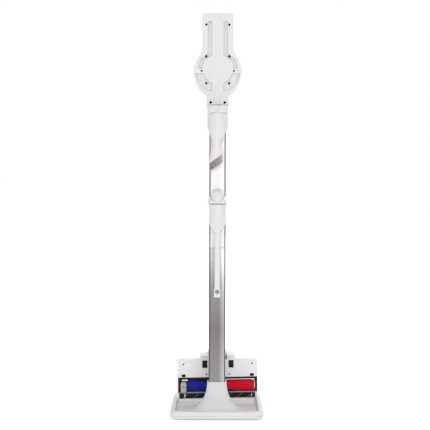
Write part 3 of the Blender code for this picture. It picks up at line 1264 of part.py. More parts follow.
def make_sole(frame):
    half = HEAD_WIDTH / 2 - 1 * MM
    low, high = SOLE_REAR - SOLE_LENGTH, SOLE_REAR
    top = [(half, high - 4 * MM), (half - 4 * MM, high), (EAR_OUTER, high), (EAR_OUTER, EAR_REAR)]
    top += [(EAR_INNER, EAR_REAR), (EAR_INNER, high)]
    outline = [(half, low)] + top + mirrored(top) + [(-half, low)]
    plate = prism("head_sole_plate", outline, "Y", SOLE, SOLE + SOLE_THICKNESS, "white_plastic", frame=frame)
    window_half, window_reach = WHEEL_WIDTH / 2 + 1 * MM, WHEEL_RADIUS + 0.6 * MM
    for number, side in enumerate((-1, 1)):
        middle = side * WHEEL_X
        left, right = middle - window_half, middle + window_half
        shape = rounded_rect(left, right, WHEEL_Z - window_reach, WHEEL_Z + window_reach, 2 * MM, 2)
        cut(plate, prism(f"cut_wheel_window_{number}", shape, "Y", SOLE - OVERSHOOT, 0, frame=frame))
    for number, (x, z) in enumerate(sole_screw_places()):
        hole = [(2.4 * MM, SOLE - OVERSHOOT), (2.4 * MM, SOLE + 1.8 * MM)]
        cut(plate, turned(f"cut_sole_screw_{number}", hole, "Y", x, z, sides=10, frame=frame))

    # black frame round the brush window, open towards the nose
    frame_half, bar = HEAD_WIDTH / 2 - 2 * MM, 5.5 * MM
    bar_high, end = low - GAP, BRUSH_Z - 19.5 * MM
    half_shape = [
        (frame_half, end),
        (frame_half, bar_high),
    ]
    inner = [(frame_half - bar, bar_high - bar), (frame_half - bar, end)]
    outline = half_shape + mirrored(half_shape) + [(-x, z) for x, z in reversed(inner)] + inner
    levels = SOLE - 0.5 * MM, SOLE + SOLE_THICKNESS - 0.6 * MM
    prism("brush_window_frame", outline, "Y", *levels, "black_plastic", frame=frame)


def sole_screw_places():
    places = ((107 * MM, SOLE_REAR - 13 * MM), (35.5 * MM, SOLE_REAR - 45 * MM))
    return [(side * x, z) for x, z in places for side in (-1, 1)]


def make_rollers(frame):
    left, right = -97 * MM, HEAD_WIDTH / 2 - 10.5 * MM
    axle, end = BRUSH_AXLE_RADIUS, HEAD_WIDTH / 2 - 3 * MM
    pulley_radius = 9 * MM
    profile = [
        (axle, -end),
        (axle, PULLEY_X - BELT_WIDTH / 2),
        (pulley_radius, PULLEY_X - BELT_WIDTH / 2),
        (pulley_radius, PULLEY_X + BELT_WIDTH / 2),
        (axle, PULLEY_X + BELT_WIDTH / 2),
        (axle, left),
        (BRUSH_RADIUS - 1 * MM, left),
        (BRUSH_RADIUS, left + 1.5 * MM),
        (BRUSH_RADIUS, right - 1.5 * MM),
        (BRUSH_RADIUS - 1 * MM, right),
        (axle, right),
        (axle, end),
    ]
    place = (0, BRUSH_Y, BRUSH_Z)
    turned("brush_roll", profile, "X", *place[1:], "brush_fleece", frame=frame, origin=place)

    cover = rounded_rect(-115.5 * MM, -98.2 * MM, BRUSH_Z - 19 * MM, BRUSH_Z + 13 * MM, 5 * MM, 3)
    low = SOLE + 0.6 * MM
    cap = prism("brush_end_cover", cover, "Y", low, low + 5 * MM, "cream_plastic", frame=frame)
    hole = [(1.8 * MM, low - OVERSHOOT), (1.8 * MM, low + 3 * MM)]
    place = -106.5 * MM, BRUSH_Z - 3 * MM
    cut(cap, turned("cut_end_cover_screw", hole, "Y", *place, sides=10, frame=frame))

    axle, left, right = 2 * MM, -104 * MM, HEAD_WIDTH / 2 - 19 * MM
    profile = [
        (axle, left - 7 * MM),
        (axle, left),
        (FRONT_ROLLER_RADIUS, left),
        (FRONT_ROLLER_RADIUS, right),
        (axle, right),
        (axle, right + 6 * MM),
    ]
    place = (0, FRONT_ROLLER_Y, FRONT_ROLLER_Z)
    turned("front_roller", profile, "X", *place[1:], "black_fleece", sides=20, frame=frame, origin=place)
    size = FRONT_ROLLER_RADIUS - 1 * MM
    for name, low, high in (
        ("front_roller_cap_left", left - 14.5 * MM, left - 1 * MM),
        ("front_roller_cap_right", right + 1 * MM, right + 11 * MM),
    ):
        middle = FRONT_ROLLER_Z
        shape = rounded_rect(SOLE, FRONT_ROLLER_Y + 6 * MM, middle - size, middle + size, 2 * MM, 2)
        block = prism(name, shape, "X", low, high, "black_plastic", frame=frame)
        inner = (left - 8 * MM, left) if low < 0 else (right, right + 7 * MM)
        hole = [(axle + SLIP, x) for x in inner]
        cut(block, turned(f"cut_{name}", hole, "X", *place[1:], sides=12, frame=frame))


def belt_outline(grow):
    """A loop round the motor's pulley and the brush's pulley, joined by tangents."""
    small, large = 5 * MM + grow, 9.4 * MM + grow
    apart = Vector((BRUSH_Y - MOTOR_Y, BRUSH_Z - MOTOR_Z))
    along = math.degrees(math.atan2(apart.y, apart.x))
    lean = math.degrees(math.acos((small - large) / apart.length))
    big = arc(BRUSH_Y, BRUSH_Z, large, along - lean, along + lean, 14)
    little = arc(MOTOR_Y, MOTOR_Z, small, along + lean, along + 360 - lean, 10)
    return big + little


def make_drive(frame):
    low, high = PULLEY_X + BELT_WIDTH / 2 + 1.2 * MM, -EAR_OUTER - 5 * MM
    body = [(10 * MM, low), (11.5 * MM, low + 2 * MM), (11.5 * MM, high - 4 * MM), (6 * MM, high)]
    turned("brush_motor", body, "X", MOTOR_Y, MOTOR_Z, "zinc_steel", frame=frame)
    place = (PULLEY_X, MOTOR_Y, MOTOR_Z)
    edge = BELT_WIDTH / 2
    rim, shaft = 4.6 * MM, 1.5 * MM
    wheel = [(rim, PULLEY_X - edge), (rim, PULLEY_X + edge), (shaft, PULLEY_X + edge), (shaft, low - GAP)]
    turned("motor_pulley", wheel, "X", MOTOR_Y, MOTOR_Z, "brass", sides=16, frame=frame, origin=place)
    inner, outer = belt_outline(0), belt_outline(1.4 * MM)
    loops = [
        place_outline(outline, "X", x)
        for outline, x in (
            (outer, PULLEY_X - edge),
            (outer, PULLEY_X + edge),
            (inner, PULLEY_X + edge),
            (inner, PULLEY_X - edge),
        )
    ]
    skin("drive_belt", loops, "black_rubber", ring=True, frame=frame)


def make_wheels(frame):
    for side, name in ((-1, "wheel_left"), (1, "wheel_right")):
        middle, half, reach = side * WHEEL_X, WHEEL_WIDTH / 2, 10 * MM
        profile = [
            (AXLE_RADIUS, middle - reach),
            (AXLE_RADIUS, middle - half),
            (WHEEL_RADIUS - 1 * MM, middle - half),
            (WHEEL_RADIUS, middle - half + 1 * MM),
            (WHEEL_RADIUS, middle + half - 1 * MM),
            (WHEEL_RADIUS - 1 * MM, middle + half),
            (AXLE_RADIUS, middle + half),
            (AXLE_RADIUS, middle + reach),
        ]
        place = (middle, WHEEL_Y, WHEEL_Z)
        turned(name, profile, "X", WHEEL_Y, WHEEL_Z, "black_rubber", frame=frame, origin=place)


def add_materials():
    add_material("white_plastic", (0.83, 0.82, 0.84), 0.42)
    add_material("white_gloss", (0.86, 0.86, 0.88), 0.25)
    add_material("grey_plastic", (0.50, 0.50, 0.53), 0.45)
    add_material("dark_plastic", (0.10, 0.10, 0.11), 0.45)
    add_material("black_plastic", (0.02, 0.02, 0.022), 0.4)
    add_material("black_rubber", (0.03, 0.03, 0.03), 0.75)
    add_material("black_fleece", (0.02, 0.02, 0.025), 0.95)
    add_material("brush_fleece", (0.65, 0.02, 0.05), 0.9)
    add_material("bristle_grey", (0.42, 0.38, 0.38), 0.8)
    add_material("cream_plastic", (0.62, 0.56, 0.47), 0.5)
    add_material("clear_plastic", (0.45, 0.47, 0.52), 0.1, alpha=0.4)
    add_material("filter_foam", (0.15, 0.15, 0.17), 0.95)
    add_material("green_board", (0.05, 0.25, 0.12), 0.5)
    add_material("brushed_aluminium", (0.60, 0.60, 0.61), 0.35, metallic=1.0)
    add_material("cast_aluminium", (0.45, 0.45, 0.47), 0.35, metallic=0.9)
    add_material("zinc_steel", (0.55, 0.56, 0.58), 0.4, metallic=1.0)
    add_material("brass", (0.75, 0.58, 0.30), 0.3, metallic=1.0)


def main():
    clear_scene()
    add_materials()
    foot = make_base()
    make_column(foot)
    make_dock()
    make_tool_socket()
    make_brush_tool()
    make_crevice_holder()
    make_crevice_tool()
    port = make_duct()
    make_bin(port)
    make_motor_unit()
    make_shoe()
    make_handle()
    make_battery()
    make_wand()
    head_frame = add_frame("head_frame", (0, WAND_Y, TILT_Z), HEAD_TURN)
    make_neck(head_frame)
    make_head_shell(head_frame)
    make_sole(head_frame)
    make_rollers(head_frame)
    make_drive(head_frame)
    make_wheels(head_frame)
    smooth_cut_pieces()


main()
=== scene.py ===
"""Looks for the stick vacuum on its charging stand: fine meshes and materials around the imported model.

Lengths are in metres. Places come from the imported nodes' boxes; the named sizes below are those of details.
"""

import json
import math
import random

import bmesh
import bpy
from mathutils import Matrix, Vector


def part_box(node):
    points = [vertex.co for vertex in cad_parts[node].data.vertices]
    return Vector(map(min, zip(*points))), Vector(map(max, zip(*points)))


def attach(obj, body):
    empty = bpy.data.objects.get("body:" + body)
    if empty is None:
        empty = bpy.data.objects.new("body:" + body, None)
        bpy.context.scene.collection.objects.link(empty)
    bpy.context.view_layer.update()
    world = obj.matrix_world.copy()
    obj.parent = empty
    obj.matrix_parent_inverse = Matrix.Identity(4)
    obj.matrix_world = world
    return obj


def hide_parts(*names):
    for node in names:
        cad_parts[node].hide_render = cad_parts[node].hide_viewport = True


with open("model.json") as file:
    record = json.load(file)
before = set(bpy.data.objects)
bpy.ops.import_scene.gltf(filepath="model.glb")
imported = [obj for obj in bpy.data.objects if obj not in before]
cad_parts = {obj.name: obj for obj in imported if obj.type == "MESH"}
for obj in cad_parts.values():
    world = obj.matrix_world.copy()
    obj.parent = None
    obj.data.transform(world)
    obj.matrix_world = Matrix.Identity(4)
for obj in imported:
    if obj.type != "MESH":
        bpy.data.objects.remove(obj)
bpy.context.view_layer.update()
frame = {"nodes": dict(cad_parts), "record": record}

MM = 0.001
OVERSHOOT = 4 * MM
SLIP = 0.4 * MM
FINE = 72  # sides of a turned piece
ARC = 12  # steps in a quarter turn
SMOOTH_ANGLE = math.radians(38)
PIECES = []
MATERIALS = {}


# ------------------------------------------------------------------ camera, floor and light


def add_camera():
    distance, height = 2365 * MM, 600 * MM
    data = bpy.data.cameras.new("camera")
    data.lens, data.sensor_width = 64.55, 36.0
    data.shift_x, data.shift_y = -0.0055, -0.0023
    camera = bpy.data.objects.new("camera", data)
    camera.location = (0, -distance, height)
    camera.rotation_euler = (math.radians(90), math.radians(-0.17), 0)
    bpy.context.scene.collection.objects.link(camera)
    bpy.context.scene.camera = camera


def flat_sheet(name, width, colour):
    mesh = bpy.data.meshes.new(name)
    corners = [(x * width / 2, y * width / 2, 0) for x, y in ((-1, -1), (1, -1), (1, 1), (-1, 1))]
    mesh.from_pydata(corners, [], [(0, 1, 2, 3)])
    sheet = bpy.data.objects.new(name, mesh)
    bpy.context.scene.collection.objects.link(sheet)
    made = bpy.data.materials.new(name)
    made.use_nodes = True
    shader = made.node_tree.nodes["Principled BSDF"]
    shader.inputs["Base Color"].default_value = (*colour, 1)
    shader.inputs["Roughness"].default_value = 0.9
    shader.inputs["Specular IOR Level"].default_value = 0.0
    shader.inputs["Emission Color"].default_value = (1, 1, 1, 1)
    shader.inputs["Emission Strength"].default_value = 0.25
    mesh.materials.append(made)


def add_studio():
    scene = bpy.context.scene
    scene.view_settings.view_transform = "Standard"
    world = bpy.data.worlds.new("white_room")
    world.use_nodes = True
    world.node_tree.nodes["Background"].inputs["Color"].default_value = (1, 1, 1, 1)
    world.node_tree.nodes["Background"].inputs["Strength"].default_value = 1.0
    scene.world = world
    flat_sheet("floor", 40, (0.95, 0.95, 0.95))
    for name, place, size, power in (
        ("key", (0.35, -3.2, 0.85), 2.6, 27),
        ("top", (0.2, 0.0, 3.2), 2.4, 14),
        ("back_fill", (0.6, 2.6, 1.8), 1.4, 16),
    ):
        light = bpy.data.lights.new(name, "AREA")
        light.shape, light.size, light.energy = "DISK", size, power
        lamp = bpy.data.objects.new(name, light)
        lamp.location = place
        aim = Vector((0, 0, 0.55)) - Vector(place)
        lamp.rotation_euler = aim.to_track_quat("-Z", "Y").to_euler()
        scene.collection.objects.link(lamp)


# ------------------------------------------------------------------ materials


def start_material(name, colour, roughness, metallic=0.0, specular=0.5):
    made = bpy.data.materials.new(name)
    made.use_nodes = True
    tree = made.node_tree
    shader = tree.nodes["Principled BSDF"]
    shader.inputs["Base Color"].default_value = (*colour, 1)
    shader.inputs["Roughness"].default_value = roughness
    shader.inputs["Metallic"].default_value = metallic
    shader.inputs["Specular IOR Level"].default_value = specular
    MATERIALS[name] = made
    return tree, shader


def noise_of(tree, scale, stretch=(1, 1, 1), detail=3.0):
    """Noise in the piece's own space, so it rides with the piece."""
    place = tree.nodes.new("ShaderNodeTexCoord")
    mapping = tree.nodes.new("ShaderNodeMapping")
    mapping.inputs["Scale"].default_value = stretch
    noise = tree.nodes.new("ShaderNodeTexNoise")
    noise.inputs["Scale"].default_value = scale
    noise.inputs["Detail"].default_value = detail
    tree.links.new(place.outputs["Object"], mapping.inputs["Vector"])
    tree.links.new(mapping.outputs[0], noise.inputs["Vector"])
    return noise.outputs["Fac"]


def spread(tree, value, low, high):
    """A noise value, mostly between 0.3 and 0.7, spread between two numbers."""
    ranged = tree.nodes.new("ShaderNodeMapRange")
    for name, number in (("From Min", 0.3), ("From Max", 0.7), ("To Min", low), ("To Max", high)):
        ranged.inputs[name].default_value = number
    tree.links.new(value, ranged.inputs["Value"])
    return ranged.outputs[0]


def blend_colours(tree, value, first, second):
    mix = tree.nodes.new("ShaderNodeMix")
    mix.data_type = "RGBA"
    mix.inputs[6].default_value = (*first, 1)
    mix.inputs[7].default_value = (*second, 1)
    tree.links.new(value, mix.inputs[0])
    return mix.outputs[2]


def add_bump(tree, shader, value, strength, distance, over=None):
    bump = tree.nodes.new("ShaderNodeBump")
    bump.inputs["Strength"].default_value = strength
    bump.inputs["Distance"].default_value = distance
    tree.links.new(value, bump.inputs["Height"])
    if over:
        tree.links.new(over, bump.inputs["Normal"])
    tree.links.new(bump.outputs[0], shader.inputs["Normal"])
    return bump.outputs[0]


def scaled(colour, factor):
    return tuple(min(1.0, c * factor) for c in colour)


def moulded(name, colour, roughness, grain=0.25, grain_scale=1400, specular=0.5, mottle=0.03, wear=0.0):
    """Moulded plastic: spark-textured grain, slow colour drift, uneven gloss and rubbed edges."""
    tree, shader = start_material(name, colour, roughness, specular=specular)
    drift = spread(tree, noise_of(tree, 9.0), 0.0, 1.0)
    tone = blend_colours(tree, drift, scaled(colour, 1 - mottle), scaled(colour, 1 + mottle))
    if wear:
        edges = tree.nodes.new("ShaderNodeNewGeometry").outputs["Pointiness"]
        rubbed = tree.nodes.new("ShaderNodeMapRange")
        for key, number in (("From Min", 0.53), ("From Max", 0.62), ("To Min", 0.0), ("To Max", wear)):
            rubbed.inputs[key].default_value = number
        tree.links.new(edges, rubbed.inputs["Value"])
        mix = tree.nodes.new("ShaderNodeMix")
        mix.data_type = "RGBA"
        mix.inputs[7].default_value = (*scaled(colour, 1.25 if sum(colour) > 1 else 2.4), 1)
        tree.links.new(rubbed.outputs[0], mix.inputs[0])
        tree.links.new(tone, mix.inputs[6])
        tone = mix.outputs[2]
    tree.links.new(tone, shader.inputs["Base Color"])
    gloss = spread(tree, noise_of(tree, 38.0, detail=5.0), roughness - 0.05, roughness + 0.08)
    tree.links.new(gloss, shader.inputs["Roughness"])
    add_bump(tree, shader, noise_of(tree, grain_scale, detail=2.0), grain, 0.12 * MM)


def brushed(name, colour, roughness, stretch=(1, 1, 0.012), strength=0.35):
    """Metal brushed along one direction, with fine streaks in its gloss and tone."""
    tree, shader = start_material(name, colour, roughness, metallic=1.0)
    streaks = noise_of(tree, 1500, stretch, detail=4.0)
    broad = noise_of(tree, 220, stretch, detail=2.0)
    tone = blend_colours(tree, spread(tree, broad, 0.0, 1.0), scaled(colour, 0.96), scaled(colour, 1.04))
    tree.links.new(tone, shader.inputs["Base Color"])
    tree.links.new(spread(tree, streaks, roughness - 0.06, roughness + 0.1), shader.inputs["Roughness"])
    add_bump(tree, shader, streaks, strength, 0.03 * MM)


def across_ramp(tree, axis, low, high, stops):
    """Grey levels along an axis of the piece's own space: stops are (share of the way, level)."""
    place = tree.nodes.new("ShaderNodeTexCoord")
    split = tree.nodes.new("ShaderNodeSeparateXYZ")
    ranged = tree.nodes.new("ShaderNodeMapRange")
    ranged.inputs["From Min"].default_value = low
    ranged.inputs["From Max"].default_value = high
    ramp = tree.nodes.new("ShaderNodeValToRGB")
    while len(ramp.color_ramp.elements) < len(stops):
        ramp.color_ramp.elements.new(0.5)
    for element, (share, level) in zip(ramp.color_ramp.elements, stops):
        element.position = share
        element.color = (level, 0.985 * level, level, 1)
    tree.links.new(place.outputs["Object"], split.inputs[0])
    tree.links.new(split.outputs[axis], ranged.inputs["Value"])
    tree.links.new(ranged.outputs[0], ramp.inputs[0])
    return ramp.outputs[0]


def multiply(tree, first, second):
    mix = tree.nodes.new("ShaderNodeMix")
    mix.data_type, mix.blend_type = "RGBA", "MULTIPLY"
    mix.inputs[0].default_value = 1.0
    tree.links.new(first, mix.inputs[6])
    tree.links.new(second, mix.inputs[7])
    return mix.outputs[2]


def bristle_pile_painted_shade(name):
    """Soft bristles with painted shade: darker towards the -X side, with a painted highlight towards +X."""
    moulded(name, (0.34, 0.285, 0.275), 0.6, grain=0.4, mottle=0.3, specular=0.25)
    tree = MATERIALS[name].node_tree
    colour = tree.nodes["Principled BSDF"].inputs["Base Color"]
    # painted shade across the pile, darkest at its -X side and brightest at its +X side
    shade = across_ramp(tree, 0, -22 * MM, 14 * MM, [(0, 0.55), (0.35, 0.8), (0.7, 1.0), (1, 1.15)])
    tree.links.new(multiply(tree, colour.links[0].from_socket, shade), colour)


def painted_reflection_column_metal(name, along, middle, right):
    """Aluminium brushed along the column, with painted reflection: painted dark bands at its rounded corners,
    a painted highlight band towards its right side and painted shade along its length.
    """
    brushed(name, (0.9, 0.89, 0.9), 0.34, strength=0.15)
    tree = MATERIALS[name].node_tree
    shader = tree.nodes["Principled BSDF"]
    corner = 0.045
    # painted reflection across the column: dark at the rounded corners, a painted highlight band towards the
    # right
    edges = [(0, 0.22), (corner, 0.22), (1.8 * corner, middle * 1.05), (0.4, middle)]
    edges += [(0.6, middle), (1 - 2.4 * corner, right), (1 - 1.6 * corner, right), (1 - corner, 0.17)]
    across = across_ramp(tree, 0, -COLUMN_HALF, COLUMN_HALF, edges)
    # painted reflection along the column's length
    down = across_ramp(tree, 2, LOWER_LOW.z, LOWER_HIGH.z, along)
    fine = shader.inputs["Base Color"].links[0].from_socket
    shade = multiply(tree, across, down)
    tree.links.new(multiply(tree, fine, shade), shader.inputs["Base Color"])


def fleece(name, colour, tip, sheen=0.6):
    tree, shader = start_material(name, colour, 0.9, specular=0.15)
    tufts = noise_of(tree, 620, detail=4.0)
    tinted = blend_colours(tree, spread(tree, tufts, 0.0, 1.0), colour, tip)
    tree.links.new(tinted, shader.inputs["Base Color"])
    shader.inputs["Sheen Weight"].default_value = sheen
    shader.inputs["Sheen Roughness"].default_value = 0.5
    shader.inputs["Sheen Tint"].default_value = (*scaled(tip, 1.6), 1)
    soft = add_bump(tree, shader, noise_of(tree, 260, detail=2.0), 0.5, 0.6 * MM)
    add_bump(tree, shader, noise_of(tree, 1900, detail=3.0), 0.6, 0.3 * MM, over=soft)


def clear(name, colour, roughness):
    tree, shader = start_material(name, colour, roughness)
    shader.inputs["Transmission Weight"].default_value = 0.92
    shader.inputs["IOR"].default_value = 1.3
    haze = spread(tree, noise_of(tree, 45, detail=5.0), roughness, roughness + 0.09)
    tree.links.new(haze, shader.inputs["Roughness"])
    add_bump(tree, shader, noise_of(tree, 30, detail=1.0), 0.03, 0.3 * MM)


def add_materials():
    moulded("white_plastic", (0.56, 0.552, 0.572), 0.42, grain=0.22, mottle=0.012, wear=0.35)
    moulded("white_head", (0.64, 0.632, 0.648), 0.38, grain=0.16, mottle=0.015, wear=0.3)
    moulded("white_gloss", (0.585, 0.582, 0.597), 0.22, grain=0.05, mottle=0.01, wear=0.2)
    moulded("grey_plastic", (0.36, 0.365, 0.38), 0.44, grain=0.3, wear=0.3)
    moulded("lip_grey", (0.13, 0.12, 0.14), 0.4, grain=0.3, wear=0.3)
    moulded("dark_plastic", (0.045, 0.046, 0.05), 0.42, grain=0.3, specular=0.3, wear=0.4)
    moulded("black_plastic", (0.012, 0.012, 0.013), 0.5, grain=0.25, specular=0.15, wear=0.5)
    moulded("black_rubber", (0.014, 0.014, 0.014), 0.72, grain=0.5, grain_scale=900, specular=0.15)
    moulded("cream_plastic", (0.42, 0.375, 0.315), 0.5, grain=0.4, mottle=0.08, wear=0.3)
    moulded("green_board", (0.02, 0.12, 0.05), 0.4, grain=0.1)
    moulded("filter_foam", (0.05, 0.05, 0.06), 0.9, grain=0.9, grain_scale=500, specular=0.1)
    bristle_pile_painted_shade("bristle_grey")
    # near-black that paints the shade in the screw holes; the screw heads take it, darker than their own
    # black plastic
    moulded("painted_hole_shade_black", (0.004, 0.004, 0.004), 0.8, grain=0.2, specular=0.05)
    moulded("screw_red", (0.10, 0.012, 0.01), 0.5, grain=0.3, specular=0.2)
    fleece("fleece_red", (0.46, 0.0022, 0.012), (0.66, 0.008, 0.03))
    fleece("fleece_blue", (0.006, 0.009, 0.13), (0.02, 0.03, 0.36))
    fleece("fleece_black", (0.006, 0.006, 0.008), (0.018, 0.018, 0.022), sheen=0.1)
    fleece("fleece_thread", (0.16, 0.15, 0.15), (0.3, 0.28, 0.28), sheen=0.2)
    brushed("wand_metal", (0.6, 0.6, 0.61), 0.3, strength=0.2)
    # painted reflection down the lower tube: grey stops that stand in for a dark reflection
    painted_reflection_fade = [(0, 0.42), (0.14, 0.4), (0.35, 0.315), (0.5, 0.245), (0.68, 0.3), (0.82, 0.45), (0.93, 0.62)]
    painted_reflection_column_metal("brushed_aluminium", painted_reflection_fade, 0.62, 1.2)
    # the upper tube's lighter copy, with its own painted reflection across it
    painted_reflection_column_metal("brushed_aluminium_upper_painted_reflection", [(0, 1.0), (1, 1.0)], 0.5, 0.56)
    brushed("cast_aluminium", (0.42, 0.42, 0.44), 0.45, stretch=(1, 1, 1))
    brushed("zinc_steel", (0.5, 0.51, 0.53), 0.38, stretch=(1, 1, 1), strength=0.2)
    brushed("brass", (0.72, 0.52, 0.24), 0.28, stretch=(1, 1, 1), strength=0.2)
    clear("clear_plastic", (0.86, 0.88, 0.92), 0.06)


# ------------------------------------------------------------------ mesh tools


def arc(across, up, radius, start, end, steps=ARC):
    angles = [math.radians(start + (end - start) * i / steps) for i in range(steps + 1)]
    return [(across + radius * math.cos(a), up + radius * math.sin(a)) for a in angles]


def circle(radius, across=0.0, up=0.0, sides=FINE):
    return arc(across, up, radius, 0, 360 - 360 / sides, sides - 1)


def rounded_rect(left, right, low, high, radius, steps=ARC):
    radius = min(radius, 0.499 * (right - left), 0.499 * (high - low))
    return (
        arc(right - radius, high - radius, radius, 0, 90, steps)
        + arc(left + radius, high - radius, radius, 90, 180, steps)
        + arc(left + radius, low + radius, radius, 180, 270, steps)
        + arc(right - radius, low + radius, radius, 270, 360, steps)
    )


def box_outline(left, right, low, high):
    return [(right, high), (left, high), (left, low), (right, low)]


def mirrored(outline):
    return [(-across, up) for across, up in reversed(outline)]


def place_outline(outline, axis, level):
    if axis == "X":
        return [(level, a, b) for a, b in outline]
    if axis == "Y":
        return [(a, level, b) for a, b in outline]
    return [(a, b, level) for a, b in outline]


def smooth_rows(rows, steps=5):
    """Rows of numbers with more rows in between, on a smooth curve through the given ones."""
    out = []
    last = len(rows) - 1
    for i in range(last):
        before, here, after, beyond = (rows[max(0, min(last, j))] for j in (i - 1, i, i + 1, i + 2))
        for step in range(steps):
            t = step / steps
            row = []
            for a, b, c, d in zip(before, here, after, beyond):
                value = 2 * b + (c - a) * t + (2 * a - 5 * b + 4 * c - d) * t**2
                row.append(0.5 * (value + (3 * b - a - 3 * c + d) * t**3))
            out.append(tuple(row))
    out.append(tuple(rows[-1]))
    return out


def edge_rows(radius, level, towards, steps=5):
    """(inset, level) rows that round an edge over: from the face's rim down onto the side."""
    rows = []
    for i in range(steps + 1):
        a = math.pi / 2 * i / steps
        rows.append((radius * (1 - math.sin(a)), level + towards * radius * (1 - math.cos(a))))
    return rows


def skin(name, loops, ring=False):
    """A solid skinned through loops of equally many points: capped at both ends, or closed on itself."""
    mesh = bpy.data.meshes.new(name)
    form = bmesh.new()
    rows = [[form.verts.new(Vector(point)) for point in loop] for loop in loops]
    count = len(rows[0])
    pairs = list(zip(rows, rows[1:] + rows[:1]))
    for lower, upper in pairs if ring else pairs[:-1]:
        for i in range(count):
            j = (i + 1) % count
            form.faces.new((lower[i], lower[j], upper[j], upper[i]))
    if not ring:
        form.faces.new(rows[0])
        form.faces.new(rows[-1])
    bmesh.ops.recalc_face_normals(form, faces=form.faces)
    form.to_mesh(mesh)
    form.free()
    obj = bpy.data.objects.new(name, mesh)
    bpy.context.scene.collection.objects.link(obj)
    return obj


def prism(name, outline, axis, low, high):
    return skin(name, [place_outline(outline, axis, level) for level in (low, high)])


def box(name, low, high):
    outline = box_outline(low[0], high[0], low[1], high[1])
    return prism(name, outline, "Z", low[2], high[2])


def turned(name, profile, axis, across, up, sides=FINE, ring=False):
    loops = [place_outline(circle(r, across, up, sides), axis, level) for r, level in profile]
    return skin(name, loops, ring)


def join(name, objects):
    """Several separate solids as one object."""
    form = bmesh.new()
    for obj in objects:
        form.from_mesh(obj.data)
        bpy.data.objects.remove(obj)
    mesh = bpy.data.meshes.new(name)
    form.to_mesh(mesh)
    form.free()
    obj = bpy.data.objects.new(name, mesh)
    bpy.context.scene.collection.objects.link(obj)
    return obj


def settle(obj):
    """Applies the object's modifiers."""
    graph = bpy.context.evaluated_depsgraph_get()
    graph.update()
    mesh = bpy.data.meshes.new_from_object(obj.evaluated_get(graph))
    obj.modifiers.clear()
    obj.data = mesh


def combine(target, tools, operation):
    for tool in tools:
        step = target.modifiers.new("step", "BOOLEAN")
        step.operation, step.object, step.solver = operation, tool, "EXACT"
    settle(target)
    for tool in tools:
        bpy.data.objects.remove(tool)
    return target


def cut(target, *tools):
    return combine(target, tools, "DIFFERENCE")


def fuse(target, *tools):
    return combine(target, tools, "UNION")


def soften(obj, width, segments=3, angle=32):
    """Rounds the sharp edges and shades the rest smooth."""
    if width:
        form = bmesh.new()
        form.from_mesh(obj.data)
        bmesh.ops.remove_doubles(form, verts=form.verts, dist=0.01 * MM)
        flat = math.radians(0.6)
        bmesh.ops.dissolve_limit(form, angle_limit=flat, verts=form.verts, edges=form.edges)
        form.to_mesh(obj.data)
        form.free()
        step = obj.modifiers.new("edges", "BEVEL")
        step.width, step.segments, step.limit_method = width, segments, "ANGLE"
        step.angle_limit, step.use_clamp_overlap, step.miter_outer = math.radians(angle), True, "MITER_ARC"
    for face in obj.data.polygons:
        face.use_smooth = True
    if width:
        settle(obj)
        for face in obj.data.polygons:
            face.use_smooth = True
    obj.data.set_sharp_from_angle(angle=SMOOTH_ANGLE)
    weight = obj.modifiers.new("normals", "WEIGHTED_NORMAL")
    weight.keep_sharp = True
    settle(obj)


def piece(obj, body, slot, material, *nodes, edge=0.4 * MM, segments=3):
    """Finishes a piece: soft edges, material, the body it rides on and the nodes it stands for."""
    if edge is not None:
        soften(obj, edge, segments)
    if material:
        obj.data.materials.clear()
        obj.data.materials.append(MATERIALS[material])
    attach(obj, body)
    if nodes:
        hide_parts(*nodes)
    PIECES.append(obj)
    return obj


def head_piece(obj, body, slot, material, *nodes, edge=0.4 * MM, segments=3):
    """The same for a piece made in the floor head's own directions."""
    soften(obj, edge, segments)
    obj.data.transform(HEAD)
    return piece(obj, body, slot, material, *nodes, edge=None)


def from_node(node, name, body, slot, material, edge=0.4 * MM, segments=3):
    """A prismatic CAD node with its edges rounded."""
    source = frame["nodes"][node]
    obj = bpy.data.objects.new(name, source.data.copy())
    obj.matrix_world = source.matrix_world
    bpy.context.scene.collection.objects.link(obj)
    return piece(obj, body, slot, material, node, edge=edge, segments=segments)


def screw_head(name, radius, across, up, face, towards=-1):
    """A pan head with a cross recess, its face at `face` along Y."""
    profile = [(0.35 * radius, face), (0.75 * radius, face - towards * 0.12 * radius)]
    profile += [(radius, face - towards * 0.5 * radius), (radius, face - towards * 0.9 * radius)]
    head = turned(name, profile, "Y", across, up, sides=28)
    arm, depth = 0.62 * radius, 0.45 * radius
    near, far = sorted((face + towards * 1 * MM, face - towards * depth))
    thin = 0.13 * radius
    cross = [
        box("arm_a", (across - arm, near, up - thin), (across + arm, far, up + thin)),
        box("arm_b", (across - thin, near, up - arm), (across + thin, far, up + arm)),
    ]
    return cut(head, *cross)


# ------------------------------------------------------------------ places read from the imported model

HEAD_JOINT = [j for j in frame["record"]["behaviour"]["joints"] if j["name"] == "head_pitch"][0]
HEAD_X = Vector(HEAD_JOINT["axis"]).normalized()
HEAD = Matrix.Translation(HEAD_JOINT["pos_m"]) @ Matrix(
    (
        (HEAD_X.x, -HEAD_X.y, 0, 0),
        (HEAD_X.y, HEAD_X.x, 0, 0),
        (0, 0, 1, 0),
        (0, 0, 0, 1),
    )
)


def head_box(node):
    """A node's lowest and highest corner in the floor head's own directions."""
    back = HEAD.inverted()
    points = [back @ v.co for v in frame["nodes"][node].data.vertices]
    low = Vector(min(p[i] for p in points) for i in range(3))
    high = Vector(max(p[i] for p in points) for i in range(3))
    return low, high


def middle_of(node):
    low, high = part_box(node)
    return (low + high) / 2


